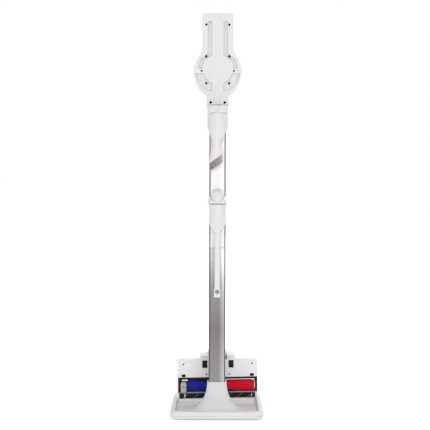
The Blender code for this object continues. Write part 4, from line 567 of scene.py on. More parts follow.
TRAY_LOW, TRAY_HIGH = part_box("base_tray")
COLUMN_LOW, COLUMN_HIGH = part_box("column_upper")
LOWER_LOW, LOWER_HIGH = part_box("column_lower")
SLEEVE_LOW, SLEEVE_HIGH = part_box("dock_neck_sleeve")
REAR_LOW, REAR_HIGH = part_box("dock_rear_cover")
FRONT_LOW, FRONT_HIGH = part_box("dock_front_cover")
SOCKET_LOW, SOCKET_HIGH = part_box("tool_socket")
BUTTON_LOW, BUTTON_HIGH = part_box("tool_release_button")
BRUSH_TOOL_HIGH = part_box("brush_tool_body")[1]
HOLDER_LOW, HOLDER_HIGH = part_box("crevice_holder")
CREVICE_LOW, CREVICE_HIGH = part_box("crevice_tool")
DUCT_LOW, DUCT_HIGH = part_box("inlet_duct")
WAND_LOW, WAND_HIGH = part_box("wand_tube")
CONNECTOR_LOW, CONNECTOR_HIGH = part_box("wand_lower_connector")
BIN_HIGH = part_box("dust_bin")[1]
HOUSING_LOW, HOUSING_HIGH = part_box("motor_housing")
CAP_LOW, CAP_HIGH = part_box("exhaust_filter_cap")
HANDLE_LOW, HANDLE_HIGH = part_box("handle_shell_right")
BATTERY_LOW, BATTERY_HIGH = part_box("battery_pack")
LATCH_LOW, LATCH_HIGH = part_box("battery_latch")
MODE_LOW, MODE_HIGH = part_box("mode_button")
DOOR_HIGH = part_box("bin_door")[1]
PIN_LOW, PIN_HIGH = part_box("bin_hinge_pin")

COLUMN_HALF = COLUMN_HIGH.x
COLUMN_BACK, COLUMN_FRONT = COLUMN_LOW.y, COLUMN_HIGH.y
COLUMN_CORNER = 6.5 * MM
PEDESTAL_WALL = 4.4 * MM
TRAY_FLOOR = 12 * MM
BASE_WALL = 3 * MM
RIM_HEIGHT = 25 * MM
RIM_WIDTH = 16 * MM
BASE_CORNER = 26 * MM
TOOL_Y = (CREVICE_LOW.y + CREVICE_HIGH.y) / 2
TUBE_RADIUS = (CREVICE_HIGH.x - CREVICE_LOW.x) / 2
PEG_RADIUS = 16.6 * MM
PEG_LENGTH = 36 * MM
DOCK_Z, DOCK_TOP = REAR_LOW.z, REAR_HIGH.z
DISC_Z = DOCK_Z + 99.6 * MM
DISC_RADIUS = REAR_HIGH.x
PANEL_HALF, NECK_HALF = 46.2 * MM, 33 * MM
PANEL_FOOT = DOCK_Z + 164 * MM
DOCK_BACK, DOCK_FRONT = REAR_LOW.y, FRONT_HIGH.y
DOCK_WALL = 3 * MM
RECESS_DEPTH = 5 * MM
WAND_Y = (WAND_LOW.y + WAND_HIGH.y) / 2
BIN_RADIUS = (CAP_HIGH.x - CAP_LOW.x) / 2 + 8 * MM
BIN_Y = (CAP_LOW.y + CAP_HIGH.y) / 2
HOUSING_RADIUS = BIN_RADIUS - 1 * MM
NOSE_RADIUS = 27 * MM
NOSE_Y = HOUSING_LOW.y + NOSE_RADIUS


# ------------------------------------------------------------------ stand


def base_outline(inset):
    corner = max(BASE_CORNER - inset, 4 * MM)
    return rounded_rect(
        TRAY_LOW.x + inset, TRAY_HIGH.x - inset, TRAY_LOW.y + inset, TRAY_HIGH.y - inset, corner
    )


def column_outline(grow=0.0):
    corner = max(COLUMN_CORNER + grow, 1 * MM)
    return rounded_rect(
        -COLUMN_HALF - grow, COLUMN_HALF + grow, COLUMN_BACK - grow, COLUMN_FRONT + grow, corner
    )


def pedestal_outline(side, back, front, grow=0.0):
    half = COLUMN_HALF + side + grow
    low, high = COLUMN_BACK - back - grow, COLUMN_FRONT + front + grow
    return rounded_rect(-half, half, low, high, COLUMN_CORNER + side + grow)


def make_base():
    top, wall = TRAY_HIGH.z, PEDESTAL_WALL
    sections = [  # height, spread to each side, back and front beyond the column
        (top, wall, wall, wall),
        (75 * MM, wall + 1.3 * MM, wall + 1 * MM, wall + 0.5 * MM),
        (55 * MM, wall + 6 * MM, wall + 4 * MM, wall + 1.5 * MM),
        (41 * MM, wall + 13 * MM, wall + 9 * MM, wall + 4 * MM),
        (31 * MM, wall + 21.5 * MM, wall + 15 * MM, wall + 7 * MM),
        (21 * MM, wall + 34 * MM, wall + 27 * MM, wall + 12 * MM),
        (15 * MM, wall + 49 * MM, wall + 39 * MM, wall + 18 * MM),
        (TRAY_FLOOR, wall + 68 * MM, wall + 50 * MM, wall + 25 * MM),
    ]
    skirt = TRAY_LOW.z
    groove = 0.7 * MM
    outer = smooth_rows(
        [
            (6 * MM, skirt),
            (2.6 * MM, skirt + 2.4 * MM),
            (0.9 * MM, skirt + 5 * MM),
            (0.2 * MM, skirt + 8 * MM),
        ],
        4,
    )
    seam = skirt + 9.4 * MM
    outer += [(0, seam), (groove, seam + 0.2 * MM), (groove, seam + 0.9 * MM), (0, seam + 1.1 * MM)]
    outer += smooth_rows(
        [
            (0, RIM_HEIGHT - 7 * MM),
            (0.5 * MM, RIM_HEIGHT - 4 * MM),
            (2.2 * MM, RIM_HEIGHT - 1.3 * MM),
            (5 * MM, RIM_HEIGHT),
            (RIM_WIDTH - 3.4 * MM, RIM_HEIGHT),
            (RIM_WIDTH - 1 * MM, RIM_HEIGHT - 0.8 * MM),
            (RIM_WIDTH, RIM_HEIGHT - 3 * MM),
            (RIM_WIDTH + 1.4 * MM, TRAY_FLOOR + 2.6 * MM),
            (RIM_WIDTH + 4.4 * MM, TRAY_FLOOR),
        ],
        4,
    )
    loops = [place_outline(base_outline(inset), "Z", z) for inset, z in outer]
    flare = smooth_rows(list(reversed(sections)), 6)
    for z, side, back, front in flare[:-1]:
        loops.append(place_outline(pedestal_outline(side, back, front), "Z", max(z, TRAY_FLOOR)))
    for inset, z in reversed(edge_rows(1.1 * MM, top, -1)):
        loops.append(place_outline(column_outline(wall - inset), "Z", z))
    loops.append(place_outline(column_outline(SLIP), "Z", top - 0.2 * MM))
    for z, side, back, front in sections[1:-1]:
        under = pedestal_outline(side, back, front, -BASE_WALL)
        loops.append(place_outline(under, "Z", z - BASE_WALL / 2))
    floor_under = TRAY_FLOOR - BASE_WALL
    loops.append(place_outline(pedestal_outline(*sections[-1][1:], -BASE_WALL), "Z", floor_under))
    inner = [
        (RIM_WIDTH + 2 * MM, floor_under),
        (RIM_WIDTH - 1 * MM, RIM_HEIGHT - BASE_WALL),
        (5.5 * MM, RIM_HEIGHT - BASE_WALL),
        (BASE_WALL, RIM_HEIGHT - 8 * MM),
        (BASE_WALL, skirt + 8 * MM),
        (6 * MM + BASE_WALL, skirt),
    ]
    loops += [place_outline(base_outline(inset), "Z", z) for inset, z in inner]
    piece(skin("tray", loops, ring=True), "stand", "white_plastic", "white_plastic", "base_tray", edge=0)


def tube_walls(name, low, high, grow_in, lip=0.5 * MM):
    """A length of the column's tube with a small chamfer at each end."""
    rows = [(-lip, low), (0, low + lip), (0, high - lip), (-lip, high), (-grow_in, high), (-grow_in, low)]
    return skin(name, [place_outline(column_outline(grow), "Z", z) for grow, z in rows], ring=True)


def make_column():
    wall = 2 * MM
    # the lower tube takes the painted-reflection aluminium, the upper tube its lighter painted copy
    lower = tube_walls("lower_tube", LOWER_LOW.z, LOWER_HIGH.z, wall)
    piece(lower, "stand", "brushed_aluminium", "brushed_aluminium", "column_lower", edge=0)
    upper = tube_walls("upper_tube", COLUMN_LOW.z, COLUMN_HIGH.z, wall)
    piece(upper, "stand", "brushed_aluminium", "brushed_aluminium_upper_painted_reflection", "column_upper", edge=0)

    low, high = SLEEVE_LOW.z, SLEEVE_HIGH.z
    grow = SLEEVE_HIGH.x - COLUMN_HALF
    rows = smooth_rows(
        [
            (grow - 4.2 * MM, low),
            (grow - 3.4 * MM, low + 1.2 * MM),
            (grow - 1.2 * MM, low + 4.6 * MM),
            (grow - 0.2 * MM, low + 8 * MM),
            (grow, low + 12 * MM),
        ],
        3,
    )
    rows += [(grow, high), (SLIP, high), (SLIP, low)]
    sleeve = skin("neck_sleeve", [place_outline(column_outline(g), "Z", z) for g, z in rows], ring=True)
    piece(sleeve, "stand", "white_plastic", "white_plastic", "dock_neck_sleeve", edge=0)


def dock_outline(inset):
    """The dock from behind: panel, shoulders tangent to the disc, disc and neck."""
    radius, panel, neck = DISC_RADIUS - inset, PANEL_HALF - inset, NECK_HALF - inset
    shoulder = Vector((PANEL_HALF, PANEL_FOOT - DISC_Z))
    touch = math.atan2(shoulder.y, shoulder.x) - math.acos(DISC_RADIUS / shoulder.length)
    slope = Vector((math.cos(touch), math.sin(touch)))
    corner_up = (radius - panel * slope.x) / slope.y
    neck_angle = -math.acos(neck / radius)
    corner = max(4 * MM - inset, 1 * MM)
    right = [(neck, DOCK_Z + inset)]
    right += arc(0, DISC_Z, radius, math.degrees(neck_angle), math.degrees(touch), 54)
    right.append((panel, DISC_Z + corner_up))
    right += arc(panel - corner, DOCK_TOP - inset - corner, corner, 0, 90, 8)
    return right + mirrored(right)


def dock_shell(name, face, lip, wall, towards, round_over=2.4 * MM):
    rows = edge_rows(round_over, face, towards, 6)
    rows += [(0, lip - 0.5 * towards * MM), (0.5 * MM, lip)]
    rows += [(DOCK_WALL, lip), (DOCK_WALL, face + towards * wall)]
    return skin(name, [place_outline(dock_outline(inset), "Y", y) for inset, y in rows])


def back_recesses():
    edge = [
        (-17.5 * MM, DISC_Z + 49 * MM),
        (-40.5 * MM, DISC_Z + 35 * MM),
        (-46.5 * MM, DISC_Z + 15 * MM),
        (-43.5 * MM, DISC_Z - 4 * MM),
        (-31 * MM, DISC_Z - 25 * MM),
        (-17 * MM, DISC_Z - 34 * MM),
    ]
    channel = [
        (-17.5 * MM, DOCK_Z + 252 * MM),
        (-30 * MM, DOCK_Z + 252 * MM),
        (-30 * MM, DISC_Z + 55 * MM),
        (-52 * MM, DISC_Z + 38 * MM),
        (-59 * MM, DISC_Z + 16 * MM),
        (-57 * MM, DISC_Z + 9 * MM),
    ]
    upper = channel + [(-45.6 * MM, DISC_Z + 9 * MM), edge[2], edge[1], edge[0]]
    rim = arc(0, DISC_Z, DISC_RADIUS - 5 * MM, 184, 222, 14)
    lower = rim + [(-29 * MM, DISC_Z - 58 * MM), (-17 * MM, DISC_Z - 58 * MM), edge[5], edge[4], edge[3]]
    return [upper, lower]


def dock_screw_places():
    """Across, up and hole radius."""
    return [
        (side * x * MM, z, radius * MM)
        for x, z, radius in (
            (34.5, DOCK_Z + 241.5 * MM, 3.5),
            (34.5, DISC_Z + 46.7 * MM, 3.5),
            (48.5, DISC_Z + 2.7 * MM, 2.9),
            (34.5, DISC_Z - 34 * MM, 3.4),
            (21.2, DOCK_Z + 7.3 * MM, 3.9),
        )
        for side in (-1, 1)
    ]


def make_dock():
    rear = dock_shell("dock_back", DOCK_BACK, REAR_HIGH.y, 6.4 * MM, 1)
    tools = [prism("column_hole", column_outline(SLIP), "Z", DOCK_Z - OVERSHOOT, COLUMN_HIGH.z + SLIP)]
    for outline in back_recesses():
        for shape in (outline, mirrored(outline)):
            tools.append(prism("recess", shape, "Y", DOCK_BACK - OVERSHOOT, DOCK_BACK + RECESS_DEPTH))
    inlet = middle_of("dc_inlet")
    tools.append(
        turned(
            "inlet_hole",
            [(5.4 * MM, PANEL_HALF - 8 * MM), (5.4 * MM, PANEL_HALF + OVERSHOOT)],
            "X",
            inlet.y,
            inlet.z,
            sides=40,
        )
    )
    cut(rear, *tools)
    soften(rear, 1.1 * MM, 4)
    holes = []
    for x, z, radius in dock_screw_places():
        holes.append(
            turned(
                "screw_hole",
                [(radius + 0.5 * MM, DOCK_BACK - 0.5 * MM), (radius - 0.1 * MM, DOCK_BACK + 0.4 * MM)]
                + [(radius - 0.3 * MM, DOCK_BACK + 5 * MM)],
                "Y",
                x,
                z,
                sides=36,
            )
        )
    cut(rear, *holes)
    piece(rear, "stand", "white_plastic", "white_plastic", "dock_rear_cover", edge=0)
    # black screw heads, painted darker to stand for the shade in their holes
    heads = []
    for x, z, radius in dock_screw_places():
        heads.append(screw_head("head", radius - 0.5 * MM, x, z, DOCK_BACK + 3.4 * MM))
    screws = join("dock_screws", heads)
    piece(screws, "stand", "black_plastic", "painted_hole_shade_black", edge=0)
    # black sleeves on the screw-hole walls: painted shade
    painted_shade_liners = []
    for x, z, radius in dock_screw_places():
        rows = [
            (radius - 0.35 * MM, DOCK_BACK + 0.9 * MM),
            (radius - 0.35 * MM, DOCK_BACK + 4.9 * MM),
            (radius - 0.75 * MM, DOCK_BACK + 4.9 * MM),
            (radius - 0.75 * MM, DOCK_BACK + 0.9 * MM),
        ]
        painted_shade_liners.append(turned("painted_shade_liner", rows, "Y", x, z, sides=36, ring=True))
    piece(join("dock_screw_wells_painted_shade", painted_shade_liners), "stand", "black_plastic", "painted_hole_shade_black", edge=0)

    front = dock_shell("dock_front", DOCK_FRONT, FRONT_LOW.y, DOCK_WALL, -1)
    cut(front, prism("column_hole", column_outline(SLIP), "Z", DOCK_Z - OVERSHOOT, COLUMN_HIGH.z + SLIP))
    piece(front, "stand", "white_plastic", "white_plastic", "dock_front_cover", edge=0.5 * MM)
    from_node("dock_rail", "rail", "stand", "grey_plastic", "grey_plastic", 0.5 * MM)
    from_node("dock_bumper", "bumper", "stand", "black_rubber", "black_rubber", 0.8 * MM)
    for side in ("left", "right"):
        centre = middle_of(f"contact_pin_{side}")
        low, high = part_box(f"contact_pin_{side}")
        radius = (high.x - low.x) / 2
        rows = [(radius, low.y), (radius, high.y - 0.9 * MM), (0.86 * radius, high.y - 0.25 * MM)]
        rows.append((0.55 * radius, high.y))
        pin = turned(f"pin_{side}", rows, "Y", centre.x, centre.z, sides=40)
        piece(pin, "stand", "brass", "brass", f"contact_pin_{side}", edge=0)
    low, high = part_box("dc_inlet")
    radius = 5 * MM
    rows = [
        (radius, high.x),
        (radius, high.x - 3.3 * MM),
        (radius + 2 * MM, high.x - 3.3 * MM),
        (radius + 2 * MM, low.x),
        (2.6 * MM, low.x),
        (2.6 * MM, high.x - 0.8 * MM),
        (3.2 * MM, high.x),
    ]
    jack = turned("supply_inlet", rows, "X", inlet.y, inlet.z, sides=40, ring=True)
    piece(jack, "stand", "black_plastic", "black_plastic", "dc_inlet", edge=0.15 * MM)


def peg(name, top):
    rows = [
        (PEG_RADIUS - 2 * MM, top - PEG_LENGTH),
        (PEG_RADIUS - 1 * MM, top - PEG_LENGTH + 1.2 * MM),
        (PEG_RADIUS, top - PEG_LENGTH + 4 * MM),
        (PEG_RADIUS, top + 5 * MM),
    ]
    return turned(name, rows, "Z", 0, TOOL_Y)


def make_tool_socket():
    near, far = SOCKET_HIGH.y, SOCKET_LOW.y
    half, high = SOCKET_HIGH.x, SOCKET_HIGH.z
    low = BRUSH_TOOL_HIGH.z + 0.3 * MM
    rows = smooth_rows(
        [
            (2.2 * MM, low),
            (0.9 * MM, low + 0.4 * MM),
            (0.25 * MM, low + 1.6 * MM),
            (0, low + 4 * MM),
            (0, high - 6 * MM),
            (0.9 * MM, high - 2.4 * MM),
            (3.5 * MM, high),
        ],
        4,
    )
    loops = []
    for inset, z in rows:
        outline = rounded_rect(inset - half, half - inset, far + inset, near, 25 * MM, 20)
        loops.append(place_outline(outline, "Z", z))
    socket = skin("brush_socket", loops)
    fuse(socket, peg("peg", low))
    wide = (BUTTON_HIGH.x - BUTTON_LOW.x) / 2
    foot = BUTTON_LOW.z
    pocket = rounded_rect(-wide - SLIP, wide + SLIP, foot - SLIP, foot + 40 * MM, wide)
    cut(socket, prism("pocket", pocket, "Y", far - OVERSHOOT, BUTTON_HIGH.y + 3 * MM))
    # the short parting line under the button
    cut(socket, box("line", (-0.35 * MM, far - 1 * MM, low - 1 * MM), (0.35 * MM, far + 0.6 * MM, foot)))
    piece(socket, "stand", "white_plastic", "white_plastic", "tool_socket", edge=0.3 * MM)

    tongue = arc(0, foot + wide, wide, 180, 360, 24) + [(wide, BUTTON_HIGH.z), (-wide, BUTTON_HIGH.z)]
    button = prism("socket_button", tongue, "Y", BUTTON_LOW.y, BUTTON_HIGH.y)
    dish = arc(0, foot + wide, wide - 1.7 * MM, 180, 360, 24)
    dish += [(wide - 1.7 * MM, BUTTON_HIGH.z - 2 * MM), (1.7 * MM - wide, BUTTON_HIGH.z - 2 * MM)]
    cut(button, prism("dish", dish, "Y", BUTTON_LOW.y - OVERSHOOT, BUTTON_LOW.y + 0.9 * MM))
    piece(button, "tool_button", "white_plastic", "white_plastic", "tool_release_button", edge=0.35 * MM)


SLANT = 0.74
BRUSH_MOUTH = 130.5 * MM  # from the tool's top, at the middle


def brush_section(drop, middle, half_width, half_depth, share):
    top = BRUSH_TOOL_HIGH.z
    outline = [(middle + half_width * x, TOOL_Y + half_depth * y) for x, y in circle(1)]
    return [(x, y, top - drop + share * SLANT * x) for x, y in outline]


def make_brush_tool():
    tube, bore = TUBE_RADIUS, PEG_RADIUS + SLIP
    shapes = [
        (0, 0, tube - 1.2 * MM, tube - 1.2 * MM, 0),
        (0.5 * MM, 0, tube - 0.3 * MM, tube - 0.3 * MM, 0),
        (1.8 * MM, 0, tube, tube, 0),
        (20 * MM, 0, tube, tube, 0),
        (48 * MM, 0, tube, tube, 0),
        (54 * MM, 0, tube - 0.3 * MM, tube - 0.4 * MM, 0),
        (62 * MM, -0.4 * MM, tube - 2.4 * MM, tube - 2 * MM, 0),
        (73 * MM, -1.8 * MM, tube - 8.5 * MM, tube - 6 * MM, 0),
        (84 * MM, -2.8 * MM, tube - 11.8 * MM, tube - 9 * MM, 0),
        (97 * MM, -3.2 * MM, tube - 12 * MM, tube - 11 * MM, 0.1),
        (107 * MM, -4 * MM, tube - 8.4 * MM, tube - 12.4 * MM, 0.4),
        (118 * MM, -4.4 * MM, tube - 6 * MM, tube - 13.2 * MM, 0.8),
        (BRUSH_MOUTH - 1.6 * MM, -4.4 * MM, tube - 5.2 * MM, tube - 13.6 * MM, 1),
        (BRUSH_MOUTH, -4.4 * MM, tube - 5.4 * MM, tube - 13.9 * MM, 1),
    ]
    passage = [
        (-OVERSHOOT, 0, bore, bore, 0),
        (44 * MM, 0, bore, bore, 0),
        (62 * MM, -0.4 * MM, bore - 2 * MM, bore - 1 * MM, 0),
        (73 * MM, -1.8 * MM, bore - 6 * MM, bore - 4 * MM, 0),
        (84 * MM, -2.8 * MM, bore - 8 * MM, bore - 6 * MM, 0),
        (97 * MM, -3.2 * MM, bore - 8 * MM, bore - 7.6 * MM, 0.1),
        (107 * MM, -4 * MM, bore - 5.4 * MM, bore - 9 * MM, 0.4),
        (118 * MM, -4.4 * MM, bore - 3.2 * MM, bore - 9.6 * MM, 0.8),
        (BRUSH_MOUTH + OVERSHOOT, -4.4 * MM, bore - 2.2 * MM, bore - 10 * MM, 1),
    ]
    body = skin("brush_body", [brush_section(*s) for s in smooth_rows(shapes, 5)])
    cut(body, skin("passage", [brush_section(*s) for s in smooth_rows(passage, 3)]))
    piece(body, "brush_tool", "white_plastic", "white_plastic", "brush_tool_body", edge=0)
    make_bristles()


def strand(form, root, tip, thick, sides=4):
    """A thin tapered rod from root to tip."""
    along = (tip - root).normalized()
    side = along.orthogonal().normalized()
    other = along.cross(side)
    rings = []
    for place, radius in ((root, thick), (root.lerp(tip, 0.6), 0.9 * thick), (tip, 0.45 * thick)):
        ring = []
        for i in range(sides):
            a = 2 * math.pi * i / sides
            ring.append(form.verts.new(place + radius * (math.cos(a) * side + math.sin(a) * other)))
        rings.append(ring)
    for lower, upper in zip(rings, rings[1:]):
        for i in range(sides):
            j = (i + 1) % sides
            form.faces.new((lower[i], lower[j], upper[j], upper[i]))
    form.faces.new(list(reversed(rings[0])))
    form.faces.new(rings[-1])


def make_bristles():
    """Rows of bristles round the slanted mouth, on a thin backing ring."""
    tube = TUBE_RADIUS
    length = 22 * MM
    mouth = BRUSH_MOUTH + 0.3 * MM
    middle = -4.4 * MM
    rng = random.Random(7)
    form = bmesh.new()
    for row in range(6):
        inset = row * 0.62 * MM
        half_width, half_depth = tube - 6.3 * MM - inset, tube - 14.9 * MM - inset
        count = 150 - 8 * row
        for i in range(count):
            a = 2 * math.pi * (i + 0.5 * (row % 2)) / count
            x, y = middle + half_width * math.cos(a), TOOL_Y + half_depth * math.sin(a)
            up = BRUSH_TOOL_HIGH.z - mouth + SLANT * x
            clump = 2.4 * abs(math.sin(4 * a)) + 0.4 * math.sin(23 * a)
            root = Vector((x, y, up))
            lean = Vector((rng.uniform(-0.5, 0.5), rng.uniform(-0.5, 0.5), 0)) * MM
            lean += Vector((math.cos(a), math.sin(a), 0)) * 0.3 * MM
            tip = root + lean + Vector((0, 0, -length + (0.6 * clump + rng.uniform(0, 1.0)) * MM))
            strand(form, root, tip, 0.42 * MM)
    mesh = bpy.data.meshes.new("bristles")
    form.to_mesh(mesh)
    form.free()
    bristles = bpy.data.objects.new("bristles", mesh)
    bpy.context.scene.collection.objects.link(bristles)
    inner, outer = (tube - 9.8 * MM, tube - 18.2 * MM), (tube - 5.9 * MM, tube - 14.5 * MM)
    rows = [(mouth - 0.2 * MM, outer), (mouth + 2.2 * MM, outer), (mouth + 2.2 * MM, inner)]
    rows.append((mouth - 0.2 * MM, inner))
    backing = skin("backing", [brush_section(drop, middle, *h, 1) for drop, h in rows], ring=True)
    both = join("bristle_ring", [bristles, backing])
    piece(both, "brush_tool", "bristle_grey", "bristle_grey", "brush_tool_bristles", edge=0)


def make_crevice_holder():
    base = HOLDER_LOW.z + PEG_LENGTH
    far = HOLDER_LOW.y
    half = HOLDER_HIGH.x
    near = HOLDER_HIGH.y
    tight = COLUMN_HALF + 1.4 * MM
    band = smooth_rows(
        [
            (base, half - 1.4 * MM, far + 1.6 * MM, near - 1 * MM),
            (base + 0.6 * MM, half - 0.4 * MM, far + 0.5 * MM, near - 0.3 * MM),
            (base + 2 * MM, half, far, near),
            (base + 6 * MM, half - 0.2 * MM, far + 0.4 * MM, near - 0.2 * MM),
            (base + 9.5 * MM, half - 0.9 * MM, far + 7 * MM, near - 0.8 * MM),
            (base + 15 * MM, half - 2.6 * MM, far + 22 * MM, near - 2.4 * MM),
            (base + 23 * MM, tight, COLUMN_BACK - 14 * MM, COLUMN_FRONT + 1.4 * MM),
        ],
        4,
    )
    loops = [
        place_outline(rounded_rect(-wide, wide, back, front, 18 * MM, 20), "Z", z)
        for z, wide, back, front in band
    ]
    holder = skin("crevice_clip", loops)
    dome = smooth_rows(
        [
            (base + 5 * MM, 16.6 * MM, far + 1 * MM),
            (base + 20 * MM, 17.2 * MM, far + 3 * MM),
            (base + 32 * MM, 16.6 * MM, far + 8 * MM),
            (base + 38 * MM, 14 * MM, far + 15 * MM),
            (base + 41.5 * MM, 10 * MM, far + 23 * MM),
            (base + 43.4 * MM, 4 * MM, far + 32 * MM),
        ],
        4,
    )
    near = COLUMN_BACK + 2 * MM
    loops = [place_outline(rounded_rect(-w, w, back, near, w, 20), "Z", z) for z, w, back in dome]
    fuse(holder, skin("dome", loops), peg("peg", base))
    cut(holder, prism("column_hole", column_outline(SLIP), "Z", base - OVERSHOOT, base + 60 * MM))
    piece(holder, "stand", "white_plastic", "white_plastic", "crevice_holder", edge=0.4 * MM)


def make_crevice_tool():
    top, tube, bore = CREVICE_HIGH.z, TUBE_RADIUS, PEG_RADIUS + SLIP
    length = CREVICE_HIGH.z - CREVICE_LOW.z
    shapes = [
        (0, tube - 1.2 * MM, tube - 1.2 * MM, 1),
        (0.5 * MM, tube - 0.3 * MM, tube - 0.3 * MM, 1),
        (1.8 * MM, tube, tube, 1),
        (20 * MM, tube, tube, 1),
        (42 * MM, tube, tube, 1),
        (50 * MM, tube - 0.1 * MM, tube - 0.1 * MM, 1),
        (58 * MM, tube - 1 * MM, tube - 1 * MM, 1),
        (66 * MM, tube - 5 * MM, tube - 3.8 * MM, 0.98),
        (75 * MM, 12.5 * MM, 16.5 * MM, 0.9),
        (84 * MM, 7.9 * MM, 14 * MM, 0.7),
        (98 * MM, 6.8 * MM, 12.5 * MM, 0.5),
        (135 * MM, 7.6 * MM, 11.8 * MM, 0.45),
        (length - 34 * MM, 7.9 * MM, 10.5 * MM, 0.45),
        (length - 27 * MM, 8.1 * MM, 10.5 * MM, 0.45),
        (length - 22.5 * MM, 9.5 * MM, 10.5 * MM, 0.45),
        (length - 18 * MM, 9.6 * MM, 10.4 * MM, 0.45),
        (length - 1.6 * MM, 9.6 * MM, 10 * MM, 0.45),
        (length - 0.4 * MM, 9.3 * MM, 9.7 * MM, 0.45),
        (length, 8.6 * MM, 9 * MM, 0.45),
    ]
    passage = [
        (-OVERSHOOT, bore, bore, 1),
        (44 * MM, bore, bore, 1),
        (58 * MM, bore - 1 * MM, bore - 1 * MM, 1),
        (66 * MM, bore - 3 * MM, bore - 2 * MM, 1),
        (75 * MM, bore - 8 * MM, bore - 4 * MM, 0.9),
        (84 * MM, 6 * MM, 11 * MM, 0.7),
        (98 * MM, 5.2 * MM, 10 * MM, 0.45),
        (length - 28 * MM, 5.2 * MM, 8.2 * MM, 0.45),
        (length - 22.5 * MM, 7.6 * MM, 8.2 * MM, 0.45),
        (length + OVERSHOOT, 7.6 * MM, 7.8 * MM, 0.45),
    ]

    def section(drop, half_width, half_depth, roundness):
        corner = min(half_width, half_depth) * min(0.999, roundness)
        low, high = TOOL_Y - half_depth, TOOL_Y + half_depth
        return place_outline(rounded_rect(-half_width, half_width, low, high, corner, 16), "Z", top - drop)

    tool = skin("crevice_nozzle", [section(*s) for s in smooth_rows(shapes, 5)])
    cut(tool, skin("passage", [section(*s) for s in smooth_rows(passage, 3)]))
    hole_z = top - length + 16 * MM
    hole = [(7 * MM, TOOL_Y - 20 * MM), (7 * MM, TOOL_Y - 9.9 * MM), (6.3 * MM, TOOL_Y - 9.2 * MM)]
    hole.append((6.3 * MM, TOOL_Y - 2 * MM))
    cut(tool, turned("bleed_hole", hole, "Y", 0, hole_z))
    piece(tool, "crevice", "white_plastic", "white_plastic", "crevice_tool", edge=0)


# ------------------------------------------------------------------ hand unit and wand


def notched_outline(radius, notch):
    apart = BIN_Y - WAND_Y
    towards = (radius**2 - notch**2 + apart**2) / (2 * apart)
    corner_x = math.sqrt(radius**2 - towards**2)
    outer_start = math.degrees(math.atan2(-towards, corner_x))
    notch_start = math.degrees(math.atan2(apart - towards, -corner_x)) % 360
    notch_end = math.degrees(math.atan2(apart - towards, corner_x))
    rim = arc(0, BIN_Y, radius, outer_start, 180 - outer_start, 100)
    hollow = arc(0, WAND_Y, notch, notch_start, notch_end, 40)
    return rim + hollow[1:-1]


def housing_outline(grow=0.0):
    large, small = HOUSING_RADIUS + grow, NOSE_RADIUS + grow
    lean = math.degrees(math.asin((HOUSING_RADIUS - NOSE_RADIUS) / (BIN_Y - NOSE_Y)))
    back = arc(0, BIN_Y, large, -lean, 180 + lean, 83)
    return back + arc(0, NOSE_Y, small, 180 + lean, 360 - lean, 39)


def release_button(node, name, body):
    low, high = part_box(node)
    half = (high.x - low.x) / 2
    outline = rounded_rect(-half, half, low.z, high.z, 4 * MM)
    button = prism(name, outline, "Y", low.y, high.y)
    ribs = []
    for i in range(4):
        z = (low.z + high.z) / 2 + (i - 1.5) * 2.6 * MM
        across = 0.25 * MM - half + 1.6 * MM, half - 1.85 * MM
        rib = rounded_rect(*across, z - 0.5 * MM, z + 0.5 * MM, 0.5 * MM, 4)
        ribs.append(prism("rib", rib, "Y", high.y - 0.5 * MM, high.y + 0.35 * MM))
    fuse(button, *ribs)
    piece(button, body, "grey_plastic", "grey_plastic", node, edge=0.25 * MM)


def make_wand():
    radius = (WAND_HIGH.x - WAND_LOW.x) / 2
    inner = radius - 1.4 * MM
    low, high = WAND_LOW.z, WAND_HIGH.z
    rows = [(radius - 0.4 * MM, low), (radius, low + 0.4 * MM), (radius, high - 0.4 * MM)]
    rows += [(radius - 0.4 * MM, high), (inner, high), (inner, low)]
    tube = turned("wand", rows, "Z", 0, WAND_Y, 96, ring=True)
    piece(tube, "hand_unit", "brushed_aluminium", "wand_metal", "wand_tube", edge=0)

    outer, seat = (CONNECTOR_HIGH.x - CONNECTOR_LOW.x) / 2, radius + SLIP
    base, top = CONNECTOR_LOW.z, CONNECTOR_HIGH.z
    spigot = radius - 1.2 * MM
    groove = base + 36 * MM
    rows = smooth_rows(
        [
            (outer - 1.8 * MM, base),
            (outer - 0.6 * MM, base + 0.7 * MM),
            (outer, base + 3 * MM),
        ],
        4,
    )
    rows += [(outer, groove), (outer - 0.6 * MM, groove + 0.3 * MM), (outer - 0.6 * MM, groove + 1.1 * MM)]
    rows += [(outer, groove + 1.4 * MM)]
    rows += smooth_rows(
        [(outer, base + 50 * MM), (outer - 0.5 * MM, base + 55 * MM), (outer - 1.6 * MM, top - 1 * MM)], 5
    )
    rows += [(outer - 2.2 * MM, top), (seat, top), (seat, low - 0.3 * MM), (spigot, low - 0.3 * MM)]
    rows += [(spigot, base)]
    connector = turned("wand_connector", rows, "Z", 0, WAND_Y, 96, ring=True)
    button_low, button_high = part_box("head_release_button")
    half = (button_high.x - button_low.x) / 2 + SLIP
    pocket = rounded_rect(-half, half, button_low.z - SLIP, button_high.z + SLIP, 4 * MM)
    cut(connector, prism("pocket", pocket, "Y", button_low.y - 1.6 * MM, WAND_Y + outer + OVERSHOOT))
    piece(connector, "hand_unit", "grey_plastic", "grey_plastic", "wand_lower_connector", edge=0)
    release_button("head_release_button", "head_button", "head_key")


